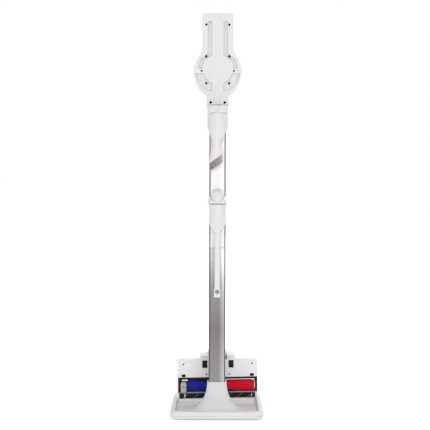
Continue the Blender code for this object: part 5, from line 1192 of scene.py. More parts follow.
def make_duct():
    radius, outer = 20.5 * MM, (DUCT_HIGH.x - DUCT_LOW.x) / 2
    low, top = DUCT_LOW.z, DUCT_HIGH.z
    shoulder = low + 50 * MM
    wand = (WAND_HIGH.x - WAND_LOW.x) / 2 + SLIP
    foot = [(outer - 1.8 * MM, low), (outer - 0.6 * MM, low + 0.7 * MM), (outer, low + 3 * MM)]
    rows = smooth_rows(foot, 4)
    rows += smooth_rows(
        [
            (outer, shoulder - 8 * MM),
            (outer - 0.7 * MM, shoulder - 6 * MM),
            (radius + 0.7 * MM, shoulder - 1.4 * MM),
            (radius, shoulder),
        ],
        5,
    )
    rows += [(radius, top)]
    duct = turned("duct", rows, "Z", 0, WAND_Y, 96)
    wand_end = WAND_HIGH.z + 0.3 * MM
    bore = [(wand, low - OVERSHOOT), (wand, wand_end), (17.5 * MM, wand_end), (17.5 * MM, top - 3 * MM)]
    button_low, button_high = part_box("wand_release_button")
    half = (button_high.x - button_low.x) / 2 + SLIP
    pocket = rounded_rect(-half, half, button_low.z - SLIP, button_high.z + SLIP, 4 * MM)
    port_low, port_high = BIN_HIGH.z - 34 * MM, BIN_HIGH.z - 8 * MM
    cut(
        duct,
        turned("bore", bore, "Z", 0, WAND_Y),
        prism("pocket", pocket, "Y", button_low.y - 1.6 * MM, WAND_Y + outer + OVERSHOOT),
        box("port", (-9 * MM, WAND_Y + 8 * MM, port_low), (9 * MM, BIN_Y, port_high)),
    )
    piece(duct, "hand_unit", "white_gloss", "white_gloss", "inlet_duct", edge=0)
    release_button("wand_release_button", "wand_button", "wand_key")


def make_bin():
    notch, wall = 23 * MM, 2.6 * MM
    top = BIN_HIGH.z
    base = top - 80 * MM
    outer = [(0.6 * MM, base), (0.15 * MM, base + 0.3 * MM), (0, base + 0.8 * MM), (0, top - 0.6 * MM)]
    outer += [(0.5 * MM, top)]
    loops = [
        place_outline(notched_outline(BIN_RADIUS - inset, notch + inset), "Z", z) for inset, z in outer
    ]
    loops += [place_outline(notched_outline(BIN_RADIUS - wall, notch + wall), "Z", z) for z in (top, base)]
    shell = skin("bin_shell", loops, ring=True)
    port_low, port_high = top - 34 * MM, top - 8 * MM
    cut(shell, box("port", (-9 * MM, WAND_Y + 8 * MM, port_low), (9 * MM, BIN_Y, port_high)))
    pin_y, pin_z = (PIN_LOW.y + PIN_HIGH.y) / 2, (PIN_LOW.z + PIN_HIGH.z) / 2
    half, thick = 14 * MM, 7 * MM
    lugs = []
    for side in (-1, 1):
        near, far = sorted((side * (half + SLIP), side * (half + SLIP + thick)))
        lug_near = BIN_Y + BIN_RADIUS - 6 * MM
        shape = rounded_rect(lug_near, pin_y + 4.5 * MM, pin_z - 4.5 * MM, base + 10 * MM, 4 * MM, 8)
        lugs.append(prism("lug", shape, "X", near, far))
    latch_low, latch_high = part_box("bin_latch")
    reach = (latch_high.y - latch_low.y) / 2
    for side in (-1, 1):
        near, far = sorted((side * (reach + SLIP), side * (reach + 3 * MM)))
        low = (BIN_RADIUS - wall / 2, BIN_Y + near, latch_high.z - 8 * MM)
        high = (latch_low.x + 3.6 * MM, BIN_Y + far, latch_high.z + 2 * MM)
        lugs.append(box("latch_lug", low, high))
    fuse(shell, *lugs)
    hole = 2.4 * MM
    span = half + thick + 8 * MM
    relief = arc(0, BIN_Y, BIN_RADIUS + 0.2 * MM, 0, 355, 71)
    cut(
        shell,
        turned("pin_hole", [(hole, -span), (hole, span)], "X", pin_y, pin_z, 32),
        prism("relief", relief, "Z", base - 12 * MM, base),
    )
    piece(shell, "hand_unit", "clear_plastic", "clear_plastic", "dust_bin", edge=0.35 * MM)

    rows = [(0.6 * MM, DOOR_HIGH.z), (0, DOOR_HIGH.z - 0.6 * MM)]
    low = base - 0.3 * MM - 5.6 * MM
    rows += [(0, low + 1.4 * MM), (0.5 * MM, low + 0.5 * MM), (1.6 * MM, low)]
    radius = BIN_RADIUS - 2 * MM
    loops = [place_outline(notched_outline(radius - i, notch + i), "Z", z) for i, z in rows]
    door = skin("bin_lid", loops)
    door_top = base - 0.3 * MM
    tongue = box_outline(-half, half, BIN_Y + radius - 10 * MM, pin_y)
    fuse(
        door,
        prism("tongue", tongue, "Z", low, door_top),
        turned("barrel", [(4.2 * MM, -half), (4.2 * MM, half)], "X", pin_y, pin_z, 40),
    )
    panel = notched_outline(radius - 7 * MM, notch + 6 * MM)
    cut(
        door,
        turned("pin_hole", [(hole, -span), (hole, span)], "X", pin_y, pin_z, 32),
        prism("panel", panel, "Z", low - OVERSHOOT, low + 0.8 * MM),
    )
    piece(door, "bin_lid", "white_gloss", "white_gloss", "bin_door", edge=0.35 * MM)

    pin_radius = 2 * MM
    rows = [(pin_radius - 0.4 * MM, PIN_LOW.x), (pin_radius, PIN_LOW.x + 0.4 * MM)]
    rows += [(pin_radius, PIN_HIGH.x - 0.4 * MM), (pin_radius - 0.4 * MM, PIN_HIGH.x)]
    pin = turned("bin_pin", rows, "X", pin_y, pin_z, 32)
    piece(pin, "hand_unit", "zinc_steel", "zinc_steel", "bin_hinge_pin", edge=0)
    from_node("bin_latch", "bin_catch_key", "bin_catch", "grey_plastic", "grey_plastic", 0.6 * MM)

    cone_y = BIN_Y + 15.5 * MM
    radius = 23 * MM
    rows = smooth_rows(
        [
            (8 * MM, base + 12 * MM),
            (9.5 * MM, base + 20 * MM),
            (12 * MM, base + 33 * MM),
            (15 * MM, base + 38 * MM),
            (radius, base + 42 * MM),
        ],
        5,
    )
    for i in range(8):
        z = base + (43.5 + 3.5 * i) * MM
        rows += [(radius, z), (radius - 0.9 * MM, z + 0.4 * MM)]
        rows += [(radius - 0.9 * MM, z + 1.6 * MM), (radius, z + 2 * MM)]
    rows += [(radius, top - 6 * MM), (radius + 2.5 * MM, top - 5.5 * MM), (radius + 2.5 * MM, top - 0.3 * MM)]
    cone = turned("cyclone", rows, "Z", 0, cone_y, 96)
    piece(cone, "hand_unit", "cast_aluminium", "cast_aluminium", "cyclone_cone", edge=0)


def make_motor_unit():
    low, high = HOUSING_LOW.z, HOUSING_HIGH.z
    bore = HOUSING_RADIUS - 4 * MM
    neck = (CAP_HIGH.x - CAP_LOW.x) / 2 - 4 * MM
    count = len(housing_outline())
    start = math.degrees(math.asin((HOUSING_RADIUS - NOSE_RADIUS) / (BIN_Y - NOSE_Y)))

    def bore_loop(radius, z):
        return place_outline(arc(0, BIN_Y, radius, -start, 360 - start - 360 / count, count - 1), "Z", z)

    seam = low + 34 * MM
    rows = [(-0.8 * MM, low), (-0.2 * MM, low + 0.3 * MM), (0, low + 1.2 * MM)]
    rows += [(0, seam), (-0.5 * MM, seam + 0.2 * MM), (-0.5 * MM, seam + 1 * MM), (0, seam + 1.2 * MM)]
    rows += smooth_rows(
        [
            (0, high - 16 * MM),
            (-0.2 * MM, high - 11 * MM),
            (-1.2 * MM, high - 5.5 * MM),
            (-3.2 * MM, high - 1.8 * MM),
            (-6 * MM, high),
        ],
        5,
    )
    loops = [place_outline(housing_outline(grow), "Z", z) for grow, z in rows]
    for radius, z in ((neck, high), (neck, high - 4 * MM), (bore, high - 6 * MM), (bore, low)):
        loops.append(bore_loop(radius, z))
    housing = skin("motor_case", loops, ring=True)
    # rows of slots low on each flank for the cooling air
    slots = []
    for side in (-1, 1):
        for i in range(7):
            z = low + (8 + 3.4 * i) * MM
            span = sorted((side * (HOUSING_RADIUS - 6 * MM), side * (HOUSING_RADIUS + OVERSHOOT)))
            shape = rounded_rect(BIN_Y - 14 * MM, BIN_Y + 14 * MM, z, z + 1.5 * MM, 0.75 * MM, 5)
            slots.append(prism("slot", shape, "X", *span))
    cut(housing, *slots)
    piece(housing, "hand_unit", "white_gloss", "white_gloss", "motor_housing", edge=0)

    low, high = CAP_LOW.z, CAP_HIGH.z
    radius = (CAP_HIGH.x - CAP_LOW.x) / 2
    wall = 3 * MM
    rows = [(radius - 0.4 * MM, low), (radius, low + 0.5 * MM)]
    rows += smooth_rows(
        [
            (radius, high - 5 * MM),
            (radius - 0.5 * MM, high - 2.8 * MM),
            (radius - 2.2 * MM, high - 0.9 * MM),
            (radius - 5.5 * MM, high),
            (26 * MM, high - 0.6 * MM),
            (15 * MM, high - 1.4 * MM),
            (12 * MM, high - 2 * MM),
        ],
        4,
    )
    rows += [
        (12 * MM, high - 2 * MM - wall),
        (radius - wall - 4 * MM, high - wall),
        (radius - wall, high - wall - 2 * MM),
        (radius - wall, low),
    ]
    cap = turned("filter_cap_top", rows, "Z", 0, BIN_Y, 144, ring=True)
    cuts = []
    for i in range(28):
        turn = Matrix.Translation((0, BIN_Y, 0)) @ Matrix.Rotation(2 * math.pi * i / 28, 4, "Z")
        side = 1.1 * MM
        near, far = radius - 6 * MM, radius + OVERSHOOT
        slots = [box("slot", (near, -side, low + 2 * MM), (far, side, high - 4.4 * MM))]
        if i % 2 == 0:
            corner = (31 * MM, 0.9 * MM, high + OVERSHOOT)
            slots.append(box("vent", (18 * MM, -0.9 * MM, high - 8 * MM), corner))
        for slot in slots:
            slot.data.transform(turn)
        cuts += slots
    cut(cap, *cuts)
    piece(cap, "filter_cap", "grey_plastic", "grey_plastic", "exhaust_filter_cap", edge=0)
    from_node("dock_shoe", "shoe", "hand_unit", "grey_plastic", "grey_plastic", 0.7 * MM)


def handle_outline():
    near, far = HANDLE_LOW.y, HANDLE_HIGH.y
    grip = far - 32 * MM
    low, high = HANDLE_LOW.z, HANDLE_HIGH.z
    inner_low, inner_high = low + 17 * MM, high - 25 * MM
    outer, inner = 16 * MM, 9 * MM
    points = [(near, low)]
    points += arc(far - outer, low + outer, outer, -90, 0)
    points += arc(far - outer, high - outer, outer, 0, 90)
    points += [(near, high), (near, inner_high)]
    points += arc(grip - inner, inner_high - inner, inner, 90, 0)
    points += arc(grip - inner, inner_low + inner, inner, 0, -90)
    points += [(near, inner_low)]
    return points


def inset_outline(points, inset):
    moved = []
    for before, here, after in zip(points[-1:] + points[:-1], points, points[1:] + points[:1]):
        here, before, after = Vector(here), Vector(before), Vector(after)
        first, second = (here - before).normalized(), (after - here).normalized()
        first_in, second_in = Vector((-first.y, first.x)), Vector((-second.y, second.x))
        normal = (first_in + second_in).normalized()
        moved.append(tuple(here + normal * inset / max(0.5, normal.dot(first_in))))
    return moved


def make_handle():
    points = handle_outline()
    half = HANDLE_HIGH.x
    wall = 3.2 * MM
    grip = HANDLE_HIGH.y - 32 * MM
    trigger_low, trigger_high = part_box("trigger")
    mode = middle_of("mode_button")
    mode_radius = (MODE_HIGH.x - MODE_LOW.x) / 2 + SLIP
    for side, name in ((-1, "left"), (1, "right")):
        rows = [(0.5 * MM, 0.15 * MM), (0, 0.6 * MM)]
        for i in range(9):
            a = math.pi / 2 * i / 8
            rows.append((5.5 * MM * (1 - math.cos(a)), half - 7 * MM + 7 * MM * math.sin(a)))
        loops = [place_outline(inset_outline(points, inset), "X", side * x) for inset, x in rows]
        shell = skin(f"handle_{name}", loops)
        room = rounded_rect(
            grip + wall, HANDLE_HIGH.y - wall, HANDLE_LOW.z + 16 * MM, HANDLE_HIGH.z - 19 * MM, 5 * MM, 6
        )
        reach = sorted((side * (half - wall), -side * OVERSHOOT))
        slot = (
            (-5.4 * MM, grip - 8 * MM, trigger_low.z - 1 * MM),
            (5.4 * MM, grip + 9 * MM, trigger_high.z + 1.2 * MM),
        )
        hole = [(mode_radius, HANDLE_HIGH.y - 12 * MM), (mode_radius, HANDLE_HIGH.y + OVERSHOOT)]
        plug = (-8.4 * MM, HANDLE_HIGH.y - 34.4 * MM, HANDLE_LOW.z - OVERSHOOT)
        plug_top = (8.4 * MM, HANDLE_HIGH.y - 9.6 * MM, HANDLE_LOW.z + 10.4 * MM)
        cut(
            shell,
            prism("room", room, "X", *reach),
            box("slot", *slot),
            turned("hole", hole, "Y", 0, mode.z, 48),
            box("plug", plug, plug_top),
        )
        node = f"handle_shell_{name}"
        piece(shell, "hand_unit", "white_gloss", "white_gloss", node, edge=0.3 * MM)
    # soft grip panel on each flank
    for side, name in ((-1, "left"), (1, "right")):
        heights = HANDLE_LOW.z + 26 * MM, HANDLE_HIGH.z - 34 * MM
        shape = rounded_rect(grip + 6 * MM, HANDLE_HIGH.y - 6 * MM, *heights, 8 * MM)
        outline = [(y, z) for y, z in shape]
        near, far = sorted((side * (half - 0.4 * MM), side * (half + 0.5 * MM)))
        pad = prism(f"grip_pad_{name}", outline, "X", near, far)
        grooves = []
        for i in range(9):
            z = HANDLE_LOW.z + (31 + 6.6 * i) * MM
            low = (min(side * (half + 0.15 * MM), side * (half + 2 * MM)), grip + 8 * MM, z)
            outside = max(side * (half + 0.15 * MM), side * (half + 2 * MM))
            high = (outside, HANDLE_HIGH.y - 8 * MM, z + 1.2 * MM)
            grooves.append(box("groove", low, high))
        cut(pad, *grooves)
        piece(pad, "hand_unit", "black_rubber", "dark_plastic", edge=0.2 * MM)
    from_node("trigger", "trigger_finger", "trigger_key", "grey_plastic", "grey_plastic", 1.2 * MM)
    low, high = MODE_LOW, MODE_HIGH
    radius = (high.x - low.x) / 2
    rows = [(radius, low.y), (radius, high.y - 1.6 * MM), (radius - 0.3 * MM, high.y - 0.7 * MM)]
    rows += [(radius - 1.2 * MM, high.y), (radius - 2.4 * MM, high.y - 0.2 * MM), (1 * MM, high.y - 0.5 * MM)]
    button = turned("mode_key_top", rows, "Y", 0, mode.z, 64)
    piece(button, "mode_key", "grey_plastic", "grey_plastic", "mode_button", edge=0)


def make_battery():
    low, high = BATTERY_LOW, BATTERY_HIGH
    plug_top = high.z
    top = HANDLE_LOW.z - 0.3 * MM
    half = high.x
    near, far = low.y, high.y
    seam = low.z + 12 * MM
    rows = smooth_rows(
        [(4 * MM, low.z), (1.6 * MM, low.z + 0.6 * MM), (0.4 * MM, low.z + 2.4 * MM), (0, low.z + 5 * MM)], 4
    )
    rows += [(0, seam), (0.5 * MM, seam + 0.2 * MM), (0.5 * MM, seam + 1 * MM), (0, seam + 1.2 * MM)]
    rows += [(0, top - 4 * MM), (0.3 * MM, top - 1.8 * MM), (1.2 * MM, top - 0.5 * MM), (2.4 * MM, top)]
    loops = []
    for inset, z in rows:
        plan = rounded_rect(inset - half, half - inset, near + inset, far - inset, 9 * MM)
        loops.append(place_outline(plan, "Z", z))
    pack = skin("battery_case", loops)
    plug = (-8 * MM, far - 34 * MM, top - 3 * MM), (8 * MM, far - 10 * MM, plug_top)
    fuse(pack, box("plug", *plug))
    reach = LATCH_HIGH.x + SLIP
    pocket = rounded_rect(-reach, reach, LATCH_LOW.z - SLIP, LATCH_HIGH.z + SLIP, 3 * MM, 8)
    tools = [prism("pocket", pocket, "Y", far - 6 * MM, far + OVERSHOOT)]
    for i in range(4):
        x = (i - 1.5) * 6 * MM
        dot = [(1.1 * MM, far - 0.5 * MM), (1.1 * MM, far + OVERSHOOT)]
        tools.append(turned("dot", dot, "Y", x, low.z + 26 * MM, 24))
    cut(pack, *tools)
    piece(pack, "battery", "grey_plastic", "grey_plastic", "battery_pack", edge=0.25 * MM)
    from_node("battery_latch", "battery_key_top", "battery_key", "dark_plastic", "dark_plastic", 0.5 * MM)


# ------------------------------------------------------------------ floor head


def in_head(outline, low, high, name="part"):
    return prism(name, outline, "X", low, high)


def make_neck():
    low, high = head_box("neck_elbow")
    top = high.z
    spigot = 19 * MM - 1.2 * MM - SLIP
    collar_top = top - 26 * MM - 0.3 * MM
    rows = [(13 * MM, 0), (spigot - 1.4 * MM, 12 * MM)]
    ribs = 4
    for i in range(ribs):
        z = collar_top - (15 - 0) * MM - (ribs - i) * 2.4 * MM
        rows += [(spigot - 1.4 * MM, z), (spigot - 0.4 * MM, z + 0.8 * MM), (spigot - 1.4 * MM, z + 1.6 * MM)]
    rows += smooth_rows(
        [
            (spigot - 1.4 * MM, collar_top - 15 * MM),
            (18.5 * MM, collar_top - 14 * MM),
            (21 * MM, collar_top - 12.4 * MM),
            (22 * MM, collar_top - 10 * MM),
            (22 * MM, collar_top - 1 * MM),
        ],
        3,
    )
    rows += [(21.4 * MM, collar_top), (spigot, collar_top)]
    rows += [(spigot, top - 1.5 * MM), (spigot - 1.5 * MM, top)]
    elbow = turned("neck", rows, "Z", 0, 0, 80)
    barrel_half, stub, barrel = 28.2 * MM, 35 * MM, 17 * MM
    pin = 5 * MM
    rows = [(pin, -stub), (pin, -barrel_half), (barrel - 1.4 * MM, -barrel_half)]
    rows += [(barrel - 0.4 * MM, -barrel_half + 0.4 * MM), (barrel, -barrel_half + 1.4 * MM)]
    rows += [(barrel, barrel_half - 1.4 * MM), (barrel - 0.4 * MM, barrel_half - 0.4 * MM)]
    rows += [(barrel - 1.4 * MM, barrel_half), (pin, barrel_half), (pin, stub)]
    fuse(elbow, turned("barrel", rows, "X", 0, 0, 80))
    bore = [(11 * MM, 4 * MM), (11 * MM, top + OVERSHOOT)]
    cut(elbow, turned("bore", bore, "Z", 0, 0, 60))
    head_piece(elbow, "neck", "grey_plastic", "white_head", "neck_elbow", edge=0.25 * MM)


SOLE = -31 * MM
SOLE_THICKNESS = 2.7 * MM
SOLE_REAR = -10 * MM
EAR_REAR, EAR_INNER, EAR_OUTER = 3 * MM, 29 * MM, 53 * MM
BRUSH_LOW, BRUSH_HIGH = head_box("brush_roll")
BRUSH_Y, BRUSH_Z = (BRUSH_LOW.y + BRUSH_HIGH.y) / 2, (BRUSH_LOW.z + BRUSH_HIGH.z) / 2
BRUSH_RADIUS = (BRUSH_HIGH.z - BRUSH_LOW.z) / 2
FRONT_ROLLER_LOW, FRONT_ROLLER_HIGH = head_box("front_roller")
FRONT_Y = (FRONT_ROLLER_LOW.y + FRONT_ROLLER_HIGH.y) / 2
FRONT_Z = (FRONT_ROLLER_LOW.z + FRONT_ROLLER_HIGH.z) / 2
FRONT_RADIUS = (FRONT_ROLLER_HIGH.z - FRONT_ROLLER_LOW.z) / 2
WHEEL_X, WHEEL_WIDTH = 41 * MM, 14 * MM
WHEEL_LOW, WHEEL_HIGH = head_box("wheel_right")
WHEEL_Y, WHEEL_Z = (WHEEL_LOW.y + WHEEL_HIGH.y) / 2, (WHEEL_LOW.z + WHEEL_HIGH.z) / 2
WHEEL_RADIUS = (WHEEL_HIGH.z - WHEEL_LOW.z) / 2
PULLEY_X = -108 * MM


def head_profile():
    rear, under = SOLE_REAR, SOLE + SOLE_THICKNESS + 0.3 * MM
    hood = BRUSH_RADIUS + 5.4 * MM
    nose_y, nose_z, nose = FRONT_Y + 1.5 * MM, FRONT_Z + 1.5 * MM, FRONT_RADIUS + 3.4 * MM
    points = [(under, rear)]
    points += arc(2 * MM, rear - 7 * MM, 7 * MM, 90, 20, 10)
    points += arc(BRUSH_Y, BRUSH_Z, hood, 25, -62, 30)
    points += arc(nose_y, nose_z, nose, -38, -120, 16)
    points += [(under, nose_z - 0.62 * nose)]
    return points


def make_head_shell():
    low, high = head_box("head_top_shell")
    half = high.x
    profile = head_profile()
    levels = []
    for i in range(7):
        a = math.pi / 2 * i / 6
        levels.append((5 * MM * (1 - math.sin(a)), -half + 5 * MM * (1 - math.cos(a))))
    levels += [(inset, -x) for inset, x in reversed(levels)]
    middle_y, middle_z = -12 * MM, BRUSH_Z + 25 * MM
    loops = []
    for inset, x in levels:
        keep_y, keep_z = 1 - inset / (22 * MM), 1 - inset / (60 * MM)
        loop = []
        for y, z in profile:
            y_in = y if y < SOLE + 6 * MM else middle_y + (y - middle_y) * keep_y
            loop.append((x, y_in, middle_z + (z - middle_z) * keep_z))
        loops.append(loop)
    shell = skin("head_case", loops)
    under = SOLE + SOLE_THICKNESS + 0.3 * MM
    ears = []
    for side in (-1, 1):
        ear = [(under, -45 * MM), (under, EAR_REAR)]
        ear += arc(0, 0, 8.4 * MM, 66, 0, 12)
        ear += [(8 * MM, -45 * MM)]
        ears.append(in_head(ear, *sorted((side * EAR_INNER, side * EAR_OUTER))))
    fuse(shell, *ears)

    wall = 3 * MM
    tools = []
    brush_room, front_room = BRUSH_RADIUS + 2.2 * MM, FRONT_RADIUS + 1.2 * MM
    room_half = half - 6 * MM
    tools.append(turned("room", [(brush_room, -room_half), (brush_room, room_half)], "X", BRUSH_Y, BRUSH_Z))
    bearing = 3.4 * MM
    end = half - 2.5 * MM
    tools.append(turned("bearing", [(bearing, -end), (bearing, end)], "X", BRUSH_Y, BRUSH_Z, 40))
    mouth = box_outline(SOLE - OVERSHOOT, BRUSH_Y, BRUSH_Z - 19.5 * MM, BRUSH_Z + 21 * MM)
    tools.append(in_head(mouth, -room_half, room_half))
    ends = -half + 5.5 * MM, half - 7.5 * MM
    tools.append(turned("front", [(front_room, e) for e in ends], "X", FRONT_Y, FRONT_Z, 60))
    opening = box_outline(SOLE - OVERSHOOT, FRONT_Y, FRONT_Z - front_room, FRONT_Z + front_room)
    tools.append(in_head(opening, *ends))
    rear_low, rear_high = BRUSH_Z + BRUSH_RADIUS + 6 * MM, SOLE_REAR - wall
    inner, outer = EAR_OUTER + wall, half - 7 * MM
    for span in ((-outer, -inner), (inner, outer)):
        tools.append(in_head(box_outline(SOLE - OVERSHOOT, 1 * MM, rear_low, rear_high), *span))
    belt = 5.5 * MM
    shape = box_outline(SOLE - OVERSHOOT, 1 * MM, BRUSH_Z, rear_high)
    tools.append(in_head(shape, PULLEY_X - belt, PULLEY_X + belt))
    neck_room = 18.3 * MM
    beyond, floor = 40 * MM, -neck_room - 6 * MM
    swing = arc(0, 0, neck_room, 180, 260, 20)
    swing += [(0, floor), (beyond, floor), (beyond, 30 * MM), (-neck_room, 30 * MM)]
    tools.append(in_head(swing, -EAR_INNER, EAR_INNER))
    tools.append(turned("stub", [(5.4 * MM, -36 * MM), (5.4 * MM, 36 * MM)], "X", 0, 0, 48))
    well_half, well_radius = WHEEL_WIDTH / 2 + 1 * MM, WHEEL_RADIUS + 1.5 * MM
    for side in (-1, 1):
        centre = side * WHEEL_X
        heights = WHEEL_Z - well_radius, WHEEL_Z + well_radius
        well = box_outline(SOLE - OVERSHOOT, WHEEL_Y + well_radius, *heights)
        tools.append(in_head(well, centre - well_half, centre + well_half))
        hole = [(2.4 * MM, centre - 10.5 * MM), (2.4 * MM, centre + 10.5 * MM)]
        tools.append(turned("axle", hole, "X", WHEEL_Y, WHEEL_Z, 32))
    cut(shell, *tools)
    head_piece(shell, "head", "white_plastic", "white_head", "head_top_shell", edge=0.5 * MM)
    # dark liners painted black as shade inside the wheel wells and the brush chamber
    painted_shade_liners = []
    for side in (-1, 1):
        centre = side * WHEEL_X
        reach = well_half - 0.1 * MM
        low_z, high_z = WHEEL_Z - well_radius + 0.1 * MM, WHEEL_Z + well_radius - 0.1 * MM
        back = WHEEL_Y + well_radius - 0.1 * MM
        shape = box_outline(SOLE + 1 * MM, back, low_z, high_z)
        painted_shade_liner = in_head(shape, centre - reach, centre + reach, "painted_shade_liner")
        room = box_outline(SOLE - OVERSHOOT, back - 0.5 * MM, low_z + 0.5 * MM, high_z - 0.5 * MM)
        axle = [(2.4 * MM, centre - 12 * MM), (2.4 * MM, centre + 12 * MM)]
        cut(
            painted_shade_liner,
            in_head(room, centre - reach + 0.5 * MM, centre + reach - 0.5 * MM, "room"),
            turned("axle", axle, "X", WHEEL_Y, WHEEL_Z, 32),
        )
        painted_shade_liners.append(painted_shade_liner)
    head_piece(join("wheel_wells_painted_shade", painted_shade_liners), "head", "black_plastic", "black_plastic", edge=0)
    # a black trough on the brush chamber's wall: painted shade
    chamber = arc(BRUSH_Y, BRUSH_Z, brush_room - 0.1 * MM, -78, 78, 40)
    inside = arc(BRUSH_Y, BRUSH_Z, brush_room - 0.7 * MM, 78, -78, 40)
    painted_shade_trough = in_head(chamber + inside, -room_half + 0.2 * MM, room_half - 0.2 * MM, "brush_trough_painted_shade")
    gap = box_outline(SOLE - OVERSHOOT, 14 * MM, BRUSH_Z, rear_high)
    cut(painted_shade_trough, in_head(gap, PULLEY_X - belt, PULLEY_X + belt))
    head_piece(painted_shade_trough, "head", "black_plastic", "black_plastic", edge=0)


def make_sole():
    low, high = head_box("head_sole_plate")
    half = high.x
    front, rear = SOLE_REAR - 54 * MM, SOLE_REAR
    top = [(half, rear - 4 * MM), (half - 1.2 * MM, rear - 1.2 * MM)]
    top += [(half - 4 * MM, rear), (EAR_OUTER, rear)]
    top += [(EAR_OUTER, EAR_REAR), (EAR_INNER, EAR_REAR), (EAR_INNER, rear)]
    outline = [(half, front)] + top + mirrored(top) + [(-half, front)]
    plate = prism("sole", outline, "Y", SOLE, SOLE + SOLE_THICKNESS)
    tools = []
    window_half, window_reach = WHEEL_WIDTH / 2 + 1 * MM, WHEEL_RADIUS + 0.6 * MM
    for side in (-1, 1):
        centre = side * WHEEL_X
        left, right = centre - window_half, centre + window_half
        shape = rounded_rect(left, right, WHEEL_Z - window_reach, WHEEL_Z + window_reach, 2 * MM, 6)
        tools.append(prism("window", shape, "Y", SOLE - OVERSHOOT, 0))
    screws = [(side * x * MM, SOLE_REAR - z * MM) for x, z in ((107, 13), (35.5, 45)) for side in (-1, 1)]
    for x, z in screws:
        hole = [(2.7 * MM, SOLE - OVERSHOOT), (2.7 * MM, SOLE + 1.8 * MM)]
        tools.append(turned("hole", hole, "Y", x, z, 36))
    pads = [(side * 106.5 * MM, SOLE_REAR - 48.5 * MM) for side in (-1, 1)]
    for x, z in pads:
        shape = rounded_rect(x - 6.4 * MM, x + 6.4 * MM, z - 4.4 * MM, z + 4.4 * MM, 3 * MM, 8)
        tools.append(prism("pad_seat", shape, "Y", SOLE - OVERSHOOT, SOLE + 1.2 * MM))
    # fine grooves across the ears
    for side in (-1, 1):
        for i in range(5):
            x = side * (EAR_INNER + (3.2 + 4.4 * i) * MM)
            groove = (
                (x - 0.8 * MM, SOLE - OVERSHOOT, rear + 3.4 * MM),
                (x + 0.8 * MM, SOLE + 0.7 * MM, EAR_REAR + OVERSHOOT),
            )
            tools.append(box("groove", *groove))
    cut(plate, *tools)
    head_piece(plate, "head", "white_plastic", "white_head", "head_sole_plate", edge=0.35 * MM)
    # black screw heads, painted darker to stand for the shade in their holes
    heads = [screw_head("screw", 2.3 * MM, x, z, SOLE + 0.5 * MM) for x, z in screws]
    head_piece(join("sole_screws", heads), "head", "black_plastic", "painted_hole_shade_black", edge=0)
    soft = []
    for x, z in pads:
        shape = rounded_rect(x - 6.1 * MM, x + 6.1 * MM, z - 4.1 * MM, z + 4.1 * MM, 2.8 * MM, 8)
        soft.append(prism("pad", shape, "Y", SOLE - 0.7 * MM, SOLE + 1 * MM))
    head_piece(join("sole_pads", soft), "head", "black_rubber", "black_rubber", edge=0.5 * MM)
    from_node("brush_window_frame", "window_frame", "head", "black_plastic", "black_plastic", 0.5 * MM)
    # pale strip under the frame's bar and pale lip between the two rollers
    strip_z = BRUSH_Z + 19.4 * MM
    strips = []
    for left, right, drop in ((-112, -94, 2.4), (-22, 106, 0.2), (106, 114, 2.4)):
        strip = rounded_rect(left * MM, right * MM, strip_z - drop * MM, strip_z + 1.9 * MM, 0.9 * MM, 5)
        strips.append(prism("strip", strip, "Y", SOLE - 0.2 * MM, SOLE + 1.6 * MM))
    head_piece(join("sole_strips", strips), "head", "white_plastic", "white_head", edge=0.3 * MM)
    lip = rounded_rect(-116 * MM, 116 * MM, BRUSH_Z - 22.3 * MM, BRUSH_Z - 20.1 * MM, 0.9 * MM, 5)
    lip = prism("sole_lip", lip, "Y", SOLE + 0.4 * MM, SOLE + 2.8 * MM)
    head_piece(lip, "head", "grey_plastic", "lip_grey", edge=0.3 * MM)


def helix_roll(name, radius, left, right, tone_at, around=120, along=300, fuzz=0.35 * MM, seed=3):
    """A pile-covered roll along X. tone_at(x, angle) gives a material index and how far the pile stands."""
    rng = random.Random(seed)
    form = bmesh.new()
    rows = []
    for i in range(along + 1):
        x = left + (right - left) * i / along
        taper = min(1.0, min(i, along - i) / 4)
        row = []
        for j in range(around):
            a = 360 * j / around
            raised = tone_at(x, a)[1]
            r = radius - 2 * MM * (1 - taper) ** 2 + raised + rng.uniform(-fuzz, fuzz)
            rad = math.radians(a)
            # angle 0 faces the sole side and grows towards the rear
            row.append(form.verts.new((x, -r * math.cos(rad), r * math.sin(rad))))
        rows.append(row)
    for i in range(along):
        x = left + (right - left) * (i + 0.5) / along
        for j in range(around):
            k = (j + 1) % around
            face = form.faces.new((rows[i][j], rows[i + 1][j], rows[i + 1][k], rows[i][k]))
            face.material_index = tone_at(x, 360 * (j + 0.5) / around)[0]
    for row, flip in ((rows[0], True), (rows[-1], False)):
        face = form.faces.new(row if flip else list(reversed(row)))
        face.material_index = 2
    bmesh.ops.recalc_face_normals(form, faces=form.faces)
    mesh = bpy.data.meshes.new(name)
    form.to_mesh(mesh)
    form.free()
    roll = bpy.data.objects.new(name, mesh)
    bpy.context.scene.collection.objects.link(roll)
    return roll


def angle_gap(a, b):
    return (a - b + 180) % 360 - 180


def brush_tone(x, angle):
    """Blue on the left and red on the right, with bands of black bristle winding along."""
    middle = 4 * MM
    if x < middle:
        centre = 62 - 1150 * (x + 52 * MM)
        colour, half = 0, 15
    else:
        centre = -50 - 800 * (x - 34 * MM)
        colour, half = 1, 15
    for turn in (0, 180):
        if abs(angle_gap(angle, centre + turn)) < half:
            return 2, 0.7 * MM
    return colour, 0.0


def thread_tone(x, angle):
    """Dark pile with a thin pale thread winding along."""
    turn = x / (34 * MM) * 180
    for start in (0, 180):
        if abs(angle_gap(angle, turn + start)) < 5:
            return 1, 0.12 * MM
    return 0, 0.0


def place_roll(roll, y, z):
    roll.data.transform(Matrix.Translation((0, y, z)))
    return roll


